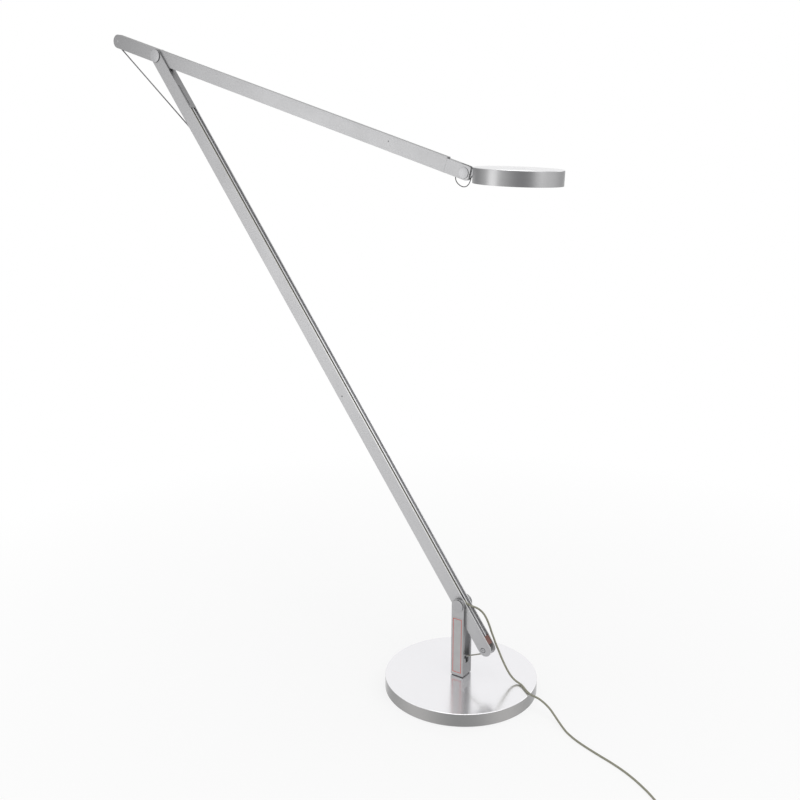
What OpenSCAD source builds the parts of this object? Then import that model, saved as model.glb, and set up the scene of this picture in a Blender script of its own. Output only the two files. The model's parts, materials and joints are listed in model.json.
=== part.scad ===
// Office floor lamp: a heavy round base, a turning fork post and two balanced
// arms of extruded aluminium, with a flat round lamp head.
// Millimetres, +Z up. The origin is the centre of the base's underside, on the floor.
// The arms move in the XZ plane: the lower arm leans to -X, the head hangs on the +X side.

/* [Base] */
// Diameter of the base disc
base_d = 270; // [240:5:320]
// Thickness of the steel disc
base_t = 23.5; // [18:0.5:30]
// Radius of the disc's top edge
base_edge_r = 1.2; // [0.5:0.1:3]
// Thickness of the rubber pad under the disc
pad_t = 1.5; // [1:0.5:3]
// How far the pad stays inside the disc's rim
pad_inset = 3; // [2:0.5:8]
// Outer diameter of the bronze swivel bush
swivel_bush_d = 16; // [14:0.5:20]
// Diameter of the swivel bolt
swivel_bolt_d = 10; // [8:1:12]
// Thickness of the plastic thrust disc under the post
thrust_t = 1.5; // [1:0.5:3]
// Diameter of the plastic thrust disc
thrust_d = 24; // [20:1:25]

/* [Post] */
// Width of the post, seen from the front
post_w = 25; // [22:0.5:30]
// Thickness of each ear of the fork
ear_t = 5; // [4:0.5:7]
// Height of the shoulder axis above the base's top
shoulder_h = 136; // [130:1:160]
// Gap between the fork's floor and the lower arm's tail as it stands up
fork_gap = 0.5; // [0.4:0.1:2]
// Width of the slot that the balance cord leaves by
string_slot_w = 9; // [5:0.5:12]
// Diameter of the shoulder axle
shoulder_axle_d = 6; // [5:0.5:6]
// Diameter of the balance cord's anchor pin in the post
anchor_pin_d = 4; // [3:0.5:4.5]
// Diameter of the round caps over the shoulder axle's ends
cap_d = 22; // [16:0.5:24]
// Thickness of the round caps
cap_t = 1.6; // [1:0.2:3]
// Height of the blank rating label
label_h = 108; // [60:1:108]
// Width of the blank rating label
label_w = 22; // [12:1:22]
// Thickness of the label
label_t = 0.3; // [0.2:0.1:0.6]

/* [Arms] */
// Height of both arm profiles
profile_h = 25; // [24:0.5:30]
// Width of the lower arm's profile, front to back
lower_w = 17; // [16:0.5:20]
// Wall of the lower arm's profile
lower_wall = 2; // [1.6:0.1:2.4]
// Distance from the shoulder axis to the elbow axis
lower_len = 1170; // [1000:5:1300]
// Lean of the lower arm from upright, as stored
lower_lean = 36.4; // [30:0.2:45]
// Distance from the shoulder axis to the lower arm's tail roller
lower_tail = 88; // [80:1:88]
// Depth of the cable channel in the lower arm
channel_depth = 5.4; // [5:0.1:5.6]
// Thickness of the rib between the channel's two grooves
rib_t = 2.6; // [2:0.1:3.2]
// How far the rib stays below the channel's mouth
rib_recess = 0.8; // [0.4:0.1:1.4]
// Distance from the elbow axis to the head's hinge, along the arm
upper_len = 717; // [600:1:800]
// Slope of the upper arm below level, as stored
upper_drop = 16.5; // [12:0.5:24]
// Distance from the elbow axis to the upper arm's tail roller
upper_tail = 113; // [100:1:114]
// Wall of the upper arm's profile
upper_wall = 1.5; // [1.2:0.1:1.8]

/* [Elbow] */
// Thickness of each cheek of the elbow fork
cheek_t = 3; // [2.4:0.1:3.4]
// Length of the elbow fork from its axis to the profile's end
elbow_fork_len = 128; // [128:1:150]
// Distance from the elbow axis to the top of the fork's web
web_top = 40.5; // [40:0.5:60]
// Thickness of the fork's web
web_t = 6; // [4:0.5:7]
// Length of the fork's spigot inside the profile
spigot_len = 34; // [24:1:50]
// Diameter of the elbow axle
elbow_axle_d = 6; // [5:0.5:7]
// Diameter of the round caps over the elbow axle's ends
elbow_cap_d = 24; // [16:0.5:24]
// Distance from the elbow axis to the upper balance cord's eye
eye_drop = 163; // [150:1:180]

/* [Balance] */
// Diameter of the balance cords
string_d = 2.4; // [1.6:0.1:2.4]
// Radius at the bottom of the rollers' grooves
groove_r = 6.8; // [6.4:0.1:7.2]
// Diameter of the roller pins
roller_pin_d = 4; // [3:0.5:5]
// Distance from the fork's floor down to the lower balance cord's anchor
anchor_drop = 3; // [2.6:0.1:5]
// Outer diameter of the lower arm's spring
lower_spring_d = 11; // [9:0.5:12]
// Outer diameter of the upper arm's spring
upper_spring_d = 6; // [5:0.2:6.4]

/* [Head] */
// Diameter of the lamp head
head_d = 140; // [120:1:160]
// Thickness of the lamp head
head_t = 24; // [20:0.5:30]
// Wall of the lamp head's rim
head_wall = 2; // [1.5:0.1:3]
// Tilt of the head from level, as stored
head_tip = 2.2; // [0:0.1:6]
// Distance from the head's hinge to its rim
knuckle_len = 25; // [22:0.5:32]
// Height of the arm's end fitting
fitting_h = 23; // [18:0.5:24]
// How far the hinge lies below the arm's middle
fitting_drop = 2; // [0:0.5:3]
// Diameter of the press button on the head
button_d = 16; // [12:0.5:20]
// Travel of the press button
button_travel = 0.8; // [0.5:0.1:1.2]

/* [Lead] */
// Diameter of the power cord
cord_d = 3.6; // [3.2:0.1:3.8]
// Length of the plug-in adapter's body
adapter_l = 50; // [40:1:60]
// Width of the plug-in adapter's body
adapter_w = 34; // [30:1:40]
// Height of the plug-in adapter's body as it lies
adapter_h = 28; // [26:1:34]
// Diameter of the plug pins
pin_d = 4; // [3.8:0.1:4.8]
// Length of the plug pins
pin_len = 19; // [16:0.5:20]

/* [Fits] */
// Radial clearance of every axle in its bush
running_gap = 0.05; // [0.02:0.01:0.1]
// Gap between faces that turn past each other
side_gap = 0.5; // [0.4:0.05:0.8]
// Gap that keeps loose pieces off their seats
seat_gap = 0.3; // [0.2:0.05:0.4]

/* [Hidden] */

$fn = 64;
// Overshoot that makes every cut go clean through
over = 1;
// Half of the profile's height, which rounds every arm end and ear
end_r = profile_h / 2;

// Colours
silver = [0.80, 0.80, 0.79];
bright = [0.88, 0.88, 0.87];
steel = [0.62, 0.62, 0.63];
dark = [0.12, 0.12, 0.13];
cord_grey = [0.55, 0.55, 0.48];
opal = [0.93, 0.93, 0.90];

// Heights on the stand
top_z = pad_t + base_t;
post_z = top_z + thrust_t;
shoulder_z = top_z + shoulder_h;
fork_floor_z = shoulder_z - lower_tail - end_r - fork_gap;
anchor_z = fork_floor_z - anchor_drop;
slot_w = lower_w + 2 * side_gap;
post_depth = slot_w + 2 * ear_t;

// Pivots in the XZ plane, as [x, z]
shoulder = [0, shoulder_z];
elbow = shoulder + lower_len * [-sin(lower_lean), cos(lower_lean)];
hinge = elbow + upper_len * [cos(upper_drop), -sin(upper_drop)]
    - fitting_drop * [sin(upper_drop), cos(upper_drop)];

// Lower arm: its own X points at the channel's mouth, its own Z at the elbow
chamber_w = lower_w - 2 * lower_wall;
web_out = end_r - channel_depth;
web_thick = 1.2;
web_in = web_out - web_thick;
chamber_x0 = lower_wall - end_r;
groove_w = (chamber_w - rib_t) / 2;
groove_y = (rib_t + groove_w) / 2;
lower_top = lower_len - elbow_fork_len;
string_lift = 0.2;
string_r = groove_r + string_d / 2 + string_lift;
string_off_web = 0.2;
inner_x = web_in - string_d / 2 - string_off_web;
lower_roller_x = inner_x - string_r;
flange_rise = 0.3;
flange_r = groove_r + string_d + flange_rise;
roller_w = 6;
roller_play = 0.2;
tail_slot = 68.5;
spring_off_wall = 1;
lower_spring_x = chamber_x0 + lower_spring_d / 2 + spring_off_wall;
slider_z = 80;
slider_l = 12;
lower_spring_end = 420;
exit_z = 4;
grommet_l = 10;
cable_lift = 0.2;
cable_x = web_out + cord_d / 2 + cable_lift;

// Upper arm: its own X points at the head, its own Z is the top side
cheek_gap = lower_w - 2 * cheek_t;
upper_w = cheek_gap - 2 * side_gap;
upper_chamber_w = upper_w - 2 * upper_wall;
upper_chamber_h = profile_h - 2 * upper_wall;
upper_string_z = string_r;
upper_tail_slot = 74;
fitting_len = 36;
fitting_start = upper_len - fitting_len;
upper_slider_x = 16;
upper_slider_l = 10;
upper_spring_z = 3;
upper_spring_end = 560;
upper_cable_d = 2.4;
lead_hole_x = 26;
upper_pin_d = 2;
upper_cable_z = -upper_chamber_h / 2 + upper_cable_d / 2 + seat_gap;
bush_wall = 1;
bush_flange = 0.4;
bush_rim = 2;
eye_x = -end_r;
eye_d = 5;
eye_reach = 2.2;
eye_ball_r = 2.6;

// Head hinge
fitting_cheek = 2.4;
tongue_w = upper_w - 2 * fitting_cheek - 2 * seat_gap;
hinge_axle_d = 5;
knuckle_h = 13;
knuckle_r = 7.5;
hinge_cap_d = 18;
hinge_cap_t = 1;
head_x = knuckle_len + head_d / 2;
glass_t = 2.5;
wire_d = 1.4;
wire_hole_d = 2.2;
// Where the head's wire enters the shell, as [y, z]
wire_entry = [-5.4, 2];
screw_d = 2.5;
screw_head_d = 4.2;
screw_head_t = 1.6;
screw_washer = 0.2;
screw_reach = 5;

// Rotates a point [x, y] by an angle
function turned(p, a) = [p[0] * cos(a) - p[1] * sin(a), p[0] * sin(a) + p[1] * cos(a)];
// A point of the lower arm's own frame, given in XZ, in the part's frame
function in_lower(p) = shoulder + turned(p, lower_lean);
// A point of the upper arm's own frame in the part's frame
function in_upper(p) = elbow + turned(p, -upper_drop);
// The same for points [x, y, z]
function lower_point(p) = let (q = in_lower([p[0], p[2]])) [q[0], p[1], q[1]];
function upper_point(p) = let (q = in_upper([p[0], p[2]])) [q[0], p[1], q[1]];
function hinge_point(p) = upper_point([upper_len + p[0], p[1], p[2]]);
function fork_point(p) = lower_point([p[0], p[1], lower_top + p[2]]);
function head_point(p) = let (q = hinge + turned([p[0], p[2]], -head_tip)) [q[0], p[1], q[1]];
// Where the tangent from point p touches a circle round c on side s
function tangent_point(p, c, r, s) = let (
    d = norm(c - p),
    reach = sqrt(d * d - r * r),
    a = atan2(c[1] - p[1], c[0] - p[0]) + s * asin(r / d)
) p + reach * [cos(a), sin(a)];

lower_roller_at = in_lower([lower_roller_x, -lower_tail]);
lower_anchor = [0, anchor_z];
lower_touch = tangent_point(lower_anchor, lower_roller_at, string_r, -1);
upper_roller_at = in_upper([-upper_tail, 0]);
eye_at = in_lower([eye_x - eye_reach, lower_len - eye_drop]);
upper_touch = tangent_point(eye_at, upper_roller_at, string_r, 1);

// Smooth curve through route points, n steps a span
function spline_at(p, i, t) = let (
    last = len(p) - 1,
    a = i > 0 ? p[i - 1] : 2 * p[0] - p[1],
    b = p[i],
    c = p[i + 1],
    d = i + 2 <= last ? p[i + 2] : 2 * p[last] - p[last - 1]
) 0.5 * (2 * b + (c - a) * t + (2 * a - 5 * b + 4 * c - d) * t * t
    + (3 * b - a - 3 * c + d) * t * t * t);
function spline(p, n) = concat(
    [for (i = [0 : len(p) - 2]) for (k = [0 : n - 1]) spline_at(p, i, k / n)],
    [p[len(p) - 1]]
);
function unit(v) = v / norm(v);
function heading(p, i) = let (last = len(p) - 1)
    unit(p[min(i + 1, last)] - p[max(i - 1, 0)]);

// Cord route points, in the part's frame. The first and the last span of each stay straight,
// so that the stretches meet square.
lead_route = [
    lower_point([cable_x, -groove_y, exit_z + grommet_l]), lower_point([cable_x, -groove_y, 9]),
    lower_point([cable_x + 0.2, -groove_y, exit_z]),
    lower_point([11.4, -3.7, -2]), lower_point([14.2, -2, -8.5]), lower_point([16.4, 2, -14]),
    lower_point([17.8, 6.4, -18.6]), [28.6, 10.3, 153.2], [31, 11.5, 151]
];
drop_route = [
    [31, 11.5, 151], [33.4, 12.7, 148.8], [38.4, 13.4, 143.6], [44, 13.4, 135.6],
    [49, 13.2, 126], [53.5, 13.2, 115], [58, 13.5, 105], [62, 14, 95], [67, 15, 84],
    [72, 16.3, 72], [77, 18, 60.5], [82.5, 20, 49], [88, 22.5, 39], [94.5, 24.5, 31.6],
    [102, 25, 28], [110, 22.5, 27.2], [118, 17, 27.1], [126, 10.6, 27.1], [134, 5.6, 27.1],
    [143.4, 2.1, 27.1], [147, 1.6, 27.1]
];
floor_route = [
    [147, 1.6, 27.1], [150.6, 1.1, 27.1], [156, 0.6, 26.3], [163, 0, 24], [171, -1, 20.6],
    [180, -3.4, 16.2], [190, -8.4, 11.6], [200, -14.2, 7.6], [211, -21, 4.2], [221, -27.6, 2.5],
    [232, -34, 2.1], [243, -39.6, 2.1], [255, -44.6, 2.1], [272, -50.6, 2.1], [292, -57, 2.1],
    [314, -63.6, 2.1], [336, -71.4, 2.1], [357, -81, 2.1], [377, -92.4, 2.1], [396, -105, 2.1],
    [414, -119.6, 2.1], [430, -135.6, 2.1], [443, -151.4, 2.1], [452, -163.4, 2.1],
    [455.4, -168, 2.1]
];
coil_dir = [0.6, -0.8];
tail_run = [[2.2, -2.9], [7, -8.4], [13, -13], [20.4, -16], [28, -17.2], [35.6, -17.2], [39, -17.2]];
wire_route = [
    hinge_point([-15, 0, -12]), hinge_point([-15, 0, -14]), hinge_point([-12.6, -0.4, -18]),
    hinge_point([-8, -1, -21.2]), hinge_point([-2, -1.8, -23]), hinge_point([4.5, -2.6, -23]),
    hinge_point([10.2, -3.5, -20.4]), hinge_point([14, -4.3, -15.4]), hinge_point([15.6, -4.9, -9]),
    hinge_point([16.2, -5.3, -3]), head_point([20.6, wire_entry[0], 0]),
    head_point([24, wire_entry[0], wire_entry[1]]), head_point([26.2, wire_entry[0], wire_entry[1]])
];
elbow_route = [
    fork_point([8.9, -3.9, 0.6]), fork_point([7.45, -3.9, 4.6]), fork_point([3.9, -3.8, 14.4]),
    fork_point([1.2, -3.4, 28]), fork_point([0.6, -2.8, 44]), fork_point([0.6, -1.6, 62]),
    fork_point([0.6, -0.6, 82]), upper_point([26, 0, -17]), upper_point([26, 0, -11])
];

// Coil of the stored length: layers of loops that spiral in and out in turn
coil_mid_r = 21.6;
coil_room = 0.5;
coil_pitch = cord_d + coil_room;
coil_layers = 4;
coil_loops = 2.5;
coil_turns = coil_layers * coil_loops;
coil_steps = 24;
coil_stub = 3.6;
coil_out_r = coil_mid_r + coil_loops * coil_pitch / 2;
coil_heading = atan2(coil_dir[1], coil_dir[0]) - 90;
coil_from = floor_route[len(floor_route) - 1];
coil_at = [
    coil_from[0] + coil_stub * coil_dir[0] - coil_out_r * cos(coil_heading),
    coil_from[1] + coil_stub * coil_dir[1] - coil_out_r * sin(coil_heading)
];
function ease(t) = let (u = min(max(t, 0), 1)) u * u * (3 - 2 * u);
function coil_r(t) = let (k = min(floor(t / coil_loops), coil_layers - 1), u = t - k * coil_loops)
    k % 2 == 0 ? coil_out_r - u * coil_pitch : coil_out_r - (coil_loops - u) * coil_pitch;
function layers_up(t, k = 1) = k >= coil_layers ? 0
    : ease((t - k * coil_loops + 0.25) / 0.5) + layers_up(t, k + 1);
function coil_point(t) = let (a = coil_heading + 360 * t, r = coil_r(t))
    [coil_at[0] + r * cos(a), coil_at[1] + r * sin(a), coil_from[2] + coil_pitch * layers_up(t)];
coil_loop = [for (i = [0 : coil_turns * coil_steps]) coil_point(i / coil_steps)];
coil_end = coil_loop[len(coil_loop) - 1];
tail_start = coil_end + coil_stub * [coil_dir[0], coil_dir[1], 0];
coil_path = concat([coil_from], coil_loop, [tail_start]);
tail_route = concat(
    [tail_start],
    [for (q = tail_run) [tail_start[0] + q[0], tail_start[1] + q[1], tail_start[2]]]
);
coil_gap = min([
    for (i = [0 : len(coil_path) - 13]) for (j = [i + 12 : len(coil_path) - 1])
        norm(coil_path[i] - coil_path[j])
]) - cord_d;
echo(least_gap_in_coil = coil_gap);

// A route with its end spans straight and the rest smooth, n steps a span
function laid(p, n) = let (last = len(p) - 1)
    concat([p[0]], spline([for (i = [1 : last - 1]) p[i]], n), [p[last]]);

// Closed tube swept along points, as one polyhedron
module tube(p, d, sides) {
    n = len(p);
    rings = [
        for (i = [0 : n - 1]) let (
            along = heading(p, i),
            side = unit(cross(along, abs(along[2]) > 0.9 ? [1, 0, 0] : [0, 0, 1])),
            up = cross(side, along)
        ) for (k = [0 : sides - 1]) let (a = 360 * (k + 0.5) / sides)
            p[i] + d / 2 * (cos(a) * side + sin(a) * up)
    ];
    walls = [
        for (i = [0 : n - 2]) for (k = [0 : sides - 1]) let (
            a = i * sides + k, b = i * sides + (k + 1) % sides
        ) each [[a, b + sides, b], [a, a + sides, b + sides]]
    ];
    ends = [
        for (k = [1 : sides - 2]) each [
            [0, k, k + 1],
            [(n - 1) * sides, (n - 1) * sides + k + 1, (n - 1) * sides + k]
        ]
    ];
    polyhedron(points = rings, faces = concat(walls, ends), convexity = 8);
}

// Straight round rod between two points of the XZ plane
module rod(a, b, d) {
    v = b - a;
    translate([a[0], 0, a[1]]) rotate([0, atan2(v[0], v[1]), 0]) cylinder(d = d, h = norm(v));
}

// Cylinder along Y between y0 and y1, round a point of the XZ plane
module across(x, z, d, y0, y1) {
    translate([x, max(y0, y1), z]) rotate([90, 0, 0]) cylinder(d = d, h = abs(y1 - y0));
}

// A ring along Y: a bush, a roller flange or a washer
module ring(x, z, d_out, d_in, y0, y1) {
    difference() {
        across(x, z, d_out, y0, y1);
        across(x, z, d_in, min(y0, y1) - over, max(y0, y1) + over);
    }
}

// Box from corner to corner
module block(a, b) {
    translate(a) cube(b - a);
}

// Places its children in the lower arm, the upper arm or the head
module on_lower() {
    translate([shoulder[0], 0, shoulder[1]]) rotate([0, -lower_lean, 0]) children();
}
module on_upper() {
    translate([elbow[0], 0, elbow[1]]) rotate([0, upper_drop, 0]) children();
}
module on_head() {
    translate([hinge[0], 0, hinge[1]]) rotate([0, head_tip, 0]) children();
}

// ---- Base ----

bolt_head_d = 17;
bolt_head_h = 6.4;
washer_d = 24;
washer_t = 2;
well_d = 27;
well_h = 11;
socket_d = 9;
socket_deep = 4;

module base_disc() color(bright) difference() {
    translate([0, 0, pad_t]) rotate_extrude($fn = 180) {
        square([base_d / 2, base_t - base_edge_r]);
        square([base_d / 2 - base_edge_r, base_t]);
        translate([base_d / 2 - base_edge_r, base_t - base_edge_r]) circle(base_edge_r, $fn = 32);
    }
    cylinder(d = swivel_bush_d, h = top_z + over);
    cylinder(d = well_d, h = well_h);
}

module base_pad() color(dark) cylinder(d = base_d - 2 * pad_inset, h = pad_t, $fn = 120);

module swivel_bush() color("peru") difference() {
    translate([0, 0, well_h]) cylinder(d = swivel_bush_d, h = top_z - well_h);
    translate([0, 0, well_h - over])
        cylinder(d = swivel_bolt_d + 2 * running_gap, h = top_z - well_h + 2 * over);
}

module thrust_disc() color(dark) difference() {
    translate([0, 0, top_z]) cylinder(d = thrust_d, h = thrust_t);
    translate([0, 0, top_z - over])
        cylinder(d = swivel_bolt_d + 2 * running_gap, h = thrust_t + 2 * over);
}

module swivel_washer() color(steel) difference() {
    translate([0, 0, well_h - washer_t]) cylinder(d = washer_d, h = washer_t);
    translate([0, 0, well_h - washer_t - over])
        cylinder(d = swivel_bolt_d, h = washer_t + 2 * over);
}

// The swivel bolt's thread ends this far under the post's notch
notch_under = 3;
bolt_end_gap = 7.5;
notch_z = anchor_z - anchor_pin_d - notch_under;
bolt_reach = notch_z - post_z - bolt_end_gap;
module swivel_bolt() color(steel) {
    translate([0, 0, well_h - washer_t])
        cylinder(d = swivel_bolt_d, h = post_z + bolt_reach - well_h + washer_t);
    difference() {
        translate([0, 0, well_h - washer_t - bolt_head_h]) cylinder(d = bolt_head_d, h = bolt_head_h);
        translate([0, 0, well_h - washer_t - bolt_head_h - over])
            cylinder(d = socket_d, h = over + socket_deep, $fn = 6);
    }
}

// ---- Post ----

module post_outline() {
    translate([-post_w / 2, post_z]) square([post_w, shoulder_z - post_z]);
    translate([0, shoulder_z]) circle(d = post_w);
}

pin_blind = 2;
module post_fork() color(silver) difference() {
    translate([0, post_depth / 2, 0]) rotate([90, 0, 0])
        linear_extrude(height = post_depth) post_outline();
    block([-post_w, -slot_w / 2, fork_floor_z], [post_w, slot_w / 2, shoulder_z + post_w]);
    block([-anchor_pin_d, -string_slot_w / 2, notch_z], [post_w, string_slot_w / 2, fork_floor_z + over]);
    across(0, shoulder_z, shoulder_axle_d, -post_depth, post_depth);
    across(0, anchor_z, anchor_pin_d, pin_blind - post_depth / 2, post_depth);
    translate([0, 0, post_z - over]) cylinder(d = swivel_bolt_d, h = bolt_reach + over);
}

module anchor_pin() color(steel)
    across(0, anchor_z, anchor_pin_d, pin_blind - post_depth / 2, post_depth / 2);

module shoulder_axle() color(steel)
    across(0, shoulder_z, shoulder_axle_d, -post_depth / 2, post_depth / 2);

module shoulder_caps() color(bright) for (s = [-1, 1])
    across(0, shoulder_z, cap_d, s * post_depth / 2, s * (post_depth / 2 + cap_t));

label_z = post_z + 4;
module rating_label() color("whitesmoke")
    block([-label_w / 2, -post_depth / 2 - label_t, label_z],
        [label_w / 2, -post_depth / 2, label_z + label_h]);

module lower_string() color(cord_grey) {
    away = unit(lower_touch - lower_anchor);
    rod(lower_anchor + (anchor_pin_d / 2 + seat_gap) * away, lower_touch, string_d);
}

// ---- Lower arm ----

module lower_section() difference() {
    translate([-end_r, -lower_w / 2]) square([profile_h, lower_w]);
    translate([chamber_x0, -chamber_w / 2]) square([web_in - chamber_x0, chamber_w]);
    for (s = [-1, 1]) translate([web_out, s * groove_y - groove_w / 2])
        square([channel_depth + over, groove_w]);
    translate([end_r - rib_recess, -rib_t]) square([rib_recess + over, 2 * rib_t]);
}

module round_end(z, w) {
    difference() {
        block([-profile_h, -w, z - profile_h], [profile_h, w, z]);
        across(0, z, profile_h, -w - over, w + over);
    }
}

pin_head_d = 9;
pin_head_t = 1;
pin_head_room = 0.2;
spring_pin_d = 3;
// How far each spring's pin lies past the spring's end
pin_past_spring = 4;
module lower_profile() color(silver) on_lower() difference() {
    translate([0, 0, -lower_tail - end_r])
        linear_extrude(height = lower_top + lower_tail + end_r) lower_section();
    round_end(-lower_tail, lower_w);
    block([-profile_h, -chamber_w / 2, -lower_tail - profile_h],
        [profile_h, chamber_w / 2, -tail_slot]);
    across(0, 0, shoulder_axle_d + 2 * (running_gap + bush_wall), -lower_w, lower_w);
    across(lower_roller_x, -lower_tail, roller_pin_d, -lower_w, lower_w);
    for (s = [-1, 1]) across(lower_roller_x, -lower_tail, pin_head_d + 2 * pin_head_room,
        s * (lower_w / 2 - pin_head_t), s * lower_w);
    across(lower_spring_x, lower_spring_end + pin_past_spring, spring_pin_d, -lower_w, lower_w);
    translate([eye_x - over, 0, lower_len - eye_drop]) rotate([0, 90, 0])
        cylinder(d = eye_d, h = lower_wall + 2 * over);
}

module shoulder_bushes() color("ivory") on_lower() for (s = [-1, 1]) {
    bore = shoulder_axle_d + 2 * running_gap;
    outer = bore + 2 * bush_wall;
    y0 = chamber_w / 2;
    y1 = lower_w / 2;
    ring(0, 0, outer, bore, s * y0, s * y1);
    ring(0, 0, outer + 2 * bush_rim, bore, s * y1, s * (y1 + bush_flange));
}

// Grooved roller on a pin along Y
module roller(x, z, w) {
    bore = roller_pin_d + 2 * running_gap;
    difference() {
        union() {
            across(x, z, 2 * groove_r, -w / 2, w / 2);
            for (s = [-1, 1])
                across(x, z, 2 * flange_r, s * w / 2, s * (string_d / 2 + string_lift));
        }
        across(x, z, bore, -w, w);
    }
}

module lower_roller() color("whitesmoke") on_lower() roller(lower_roller_x, -lower_tail, roller_w);

// Wall of the spacers that keep each roller in the middle
spacer_wall = 1.5;
module lower_roller_pin() color(steel) on_lower() {
    across(lower_roller_x, -lower_tail, roller_pin_d, -lower_w / 2, lower_w / 2);
    for (s = [-1, 1]) {
        across(lower_roller_x, -lower_tail, roller_pin_d + 2 * spacer_wall,
            s * (roller_w / 2 + roller_play), s * chamber_w / 2);
        across(lower_roller_x, -lower_tail, pin_head_d, s * (lower_w / 2 - pin_head_t), s * lower_w / 2);
    }
}

stop_l = 15.5;
module channel_stop() color("rosybrown") on_lower() difference() {
    block([inner_x + string_d / 2 + seat_gap, -chamber_w / 2, -tail_slot - stop_l],
        [end_r - rib_recess, chamber_w / 2, -tail_slot]);
    across(lower_roller_x, -lower_tail, 2 * (flange_r + side_gap), -lower_w, lower_w);
}

module lower_slider() color(steel) on_lower()
    block([chamber_x0 + seat_gap, -chamber_w / 2 + seat_gap, slider_z],
        [web_in - seat_gap, chamber_w / 2 - seat_gap, slider_z + slider_l]);

// Close-wound spring, drawn as its outer sleeve
module sleeve_spring(d, wall, l) difference() {
    cylinder(d = d, h = l);
    translate([0, 0, -over]) cylinder(d = d - 2 * wall, h = l + 2 * over);
}

spring_play = 0.1;
plug_l = 5;
lower_spring_wall = 1.4;
module lower_spring() color(steel) on_lower()
    translate([lower_spring_x, 0, slider_z + slider_l])
        sleeve_spring(lower_spring_d, lower_spring_wall, lower_spring_end - slider_z - slider_l);

module lower_spring_pin() color(steel) on_lower() {
    across(lower_spring_x, lower_spring_end + pin_past_spring, spring_pin_d, -lower_w / 2, lower_w / 2);
    translate([lower_spring_x, 0, lower_spring_end])
        cylinder(d = lower_spring_d - 2 * (lower_spring_wall + spring_play), h = plug_l);
}

module lower_inner_string() color(cord_grey) on_lower()
    translate([inner_x, 0, -lower_tail]) cylinder(d = string_d, h = slider_z + lower_tail - seat_gap);

module lower_cable() color(cord_grey) on_lower()
    translate([cable_x, -groove_y, exit_z + grommet_l])
        cylinder(d = cord_d, h = lower_top - exit_z - grommet_l);

// Clip in the groove, open towards the profile's web
grommet_play = 0.25;
module cord_grommet() color(dark) on_lower() difference() {
    hold_r = cord_d / 2 + grommet_play;
    block([web_out, -groove_y - groove_w / 2, exit_z],
        [end_r - rib_recess, groove_w / 2 - groove_y, exit_z + grommet_l]);
    translate([cable_x, -groove_y, exit_z - over]) cylinder(r = hold_r, h = grommet_l + 2 * over);
    block([web_out - over, -groove_y - hold_r, exit_z - over],
        [cable_x, hold_r - groove_y, exit_z + grommet_l + over]);
}

// ---- Elbow ----

module cheek(y0, y1) {
    block([-end_r, y0, lower_top], [end_r, y1, lower_len]);
    across(0, lower_len, profile_h, y0, y1);
}

seam_w = 1.5;
seam_deep = 2.5;
seam_up = 5;
seam_down = 36;
lead_d = 2.4;
lead_bore_d = 3.4;
lead_bore_l = 28;
lead_slant = 20;
module elbow_fork() color(silver) on_lower() difference() {
    union() {
        cheek(-lower_w / 2, -cheek_gap / 2);
        cheek(cheek_gap / 2, lower_w / 2);
        block([end_r - web_t, -lower_w / 2, lower_top], [end_r, lower_w / 2, lower_len - web_top]);
        block([chamber_x0, -chamber_w / 2, lower_top - spigot_len],
            [web_in, chamber_w / 2, lower_top + over]);
    }
    across(0, lower_len, elbow_axle_d, -lower_w, lower_w);
    translate([cable_x, -groove_y, lower_top]) rotate([0, -lead_slant, 0])
        translate([0, 0, -2 * over]) cylinder(d = lead_bore_d, h = lead_bore_l);
    block([end_r - seam_deep, -cheek_gap / 2, lower_top + seam_up],
        [end_r + over, seam_w - cheek_gap / 2, lower_len - web_top - seam_down]);
}

module elbow_axle() color(steel) on_lower()
    across(0, lower_len, elbow_axle_d, -lower_w / 2, lower_w / 2);

module elbow_caps() color(bright) on_lower() for (s = [-1, 1])
    across(0, lower_len, elbow_cap_d, s * lower_w / 2, s * (lower_w / 2 + cap_t));

// Ball-ended stud in the arm's back, which the cord turns round
module string_eye() color(steel) on_lower() translate([eye_x - eye_reach, 0, lower_len - eye_drop]) {
    rotate([0, 90, 0]) cylinder(d = eye_d, h = eye_reach + lower_wall);
    sphere(eye_ball_r);
}

module upper_string() color(cord_grey) {
    rod(eye_at + (eye_ball_r + seat_gap) * unit(upper_touch - eye_at), upper_touch, string_d);
}

module elbow_lead() color(dark) tube(laid(elbow_route, 3), lead_d, 8);

// ---- Upper arm ----

module upper_section() difference() {
    translate([-end_r, -upper_w / 2]) square([profile_h, upper_w]);
    translate([-upper_chamber_h / 2, -upper_chamber_w / 2]) square([upper_chamber_h, upper_chamber_w]);
}

// The profile's section lies in its own YZ plane and runs along X
module upper_profile() color(silver) on_upper() difference() {
    union() {
        translate([-upper_tail, 0, 0]) rotate([0, 90, 0])
            linear_extrude(height = fitting_start + upper_tail) upper_section();
        for (s = [-1, 1]) across(-upper_tail, 0, profile_h, s * upper_w / 2, s * upper_chamber_w / 2);
    }
    block([-upper_tail - profile_h, -upper_chamber_w / 2, -profile_h],
        [-upper_tail_slot, upper_chamber_w / 2, upper_chamber_h / 2]);
    across(0, 0, elbow_axle_d + 2 * (running_gap + bush_wall), -upper_w, upper_w);
    across(-upper_tail, 0, roller_pin_d, -upper_w, upper_w);
    across(upper_spring_end + pin_past_spring, upper_spring_z, upper_pin_d, -upper_w, upper_w);
    translate([lead_hole_x, 0, -end_r - over]) cylinder(d = lead_bore_d, h = upper_wall + 2 * over);
}

module elbow_bushes() color("ivory") on_upper() for (s = [-1, 1]) {
    bore = elbow_axle_d + 2 * running_gap;
    outer = bore + 2 * bush_wall;
    y0 = upper_chamber_w / 2;
    y1 = upper_w / 2;
    ring(0, 0, outer, bore, s * y0, s * y1);
    ring(0, 0, outer + 2 * bush_rim, bore, s * y1, s * (y1 + bush_flange));
}

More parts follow.
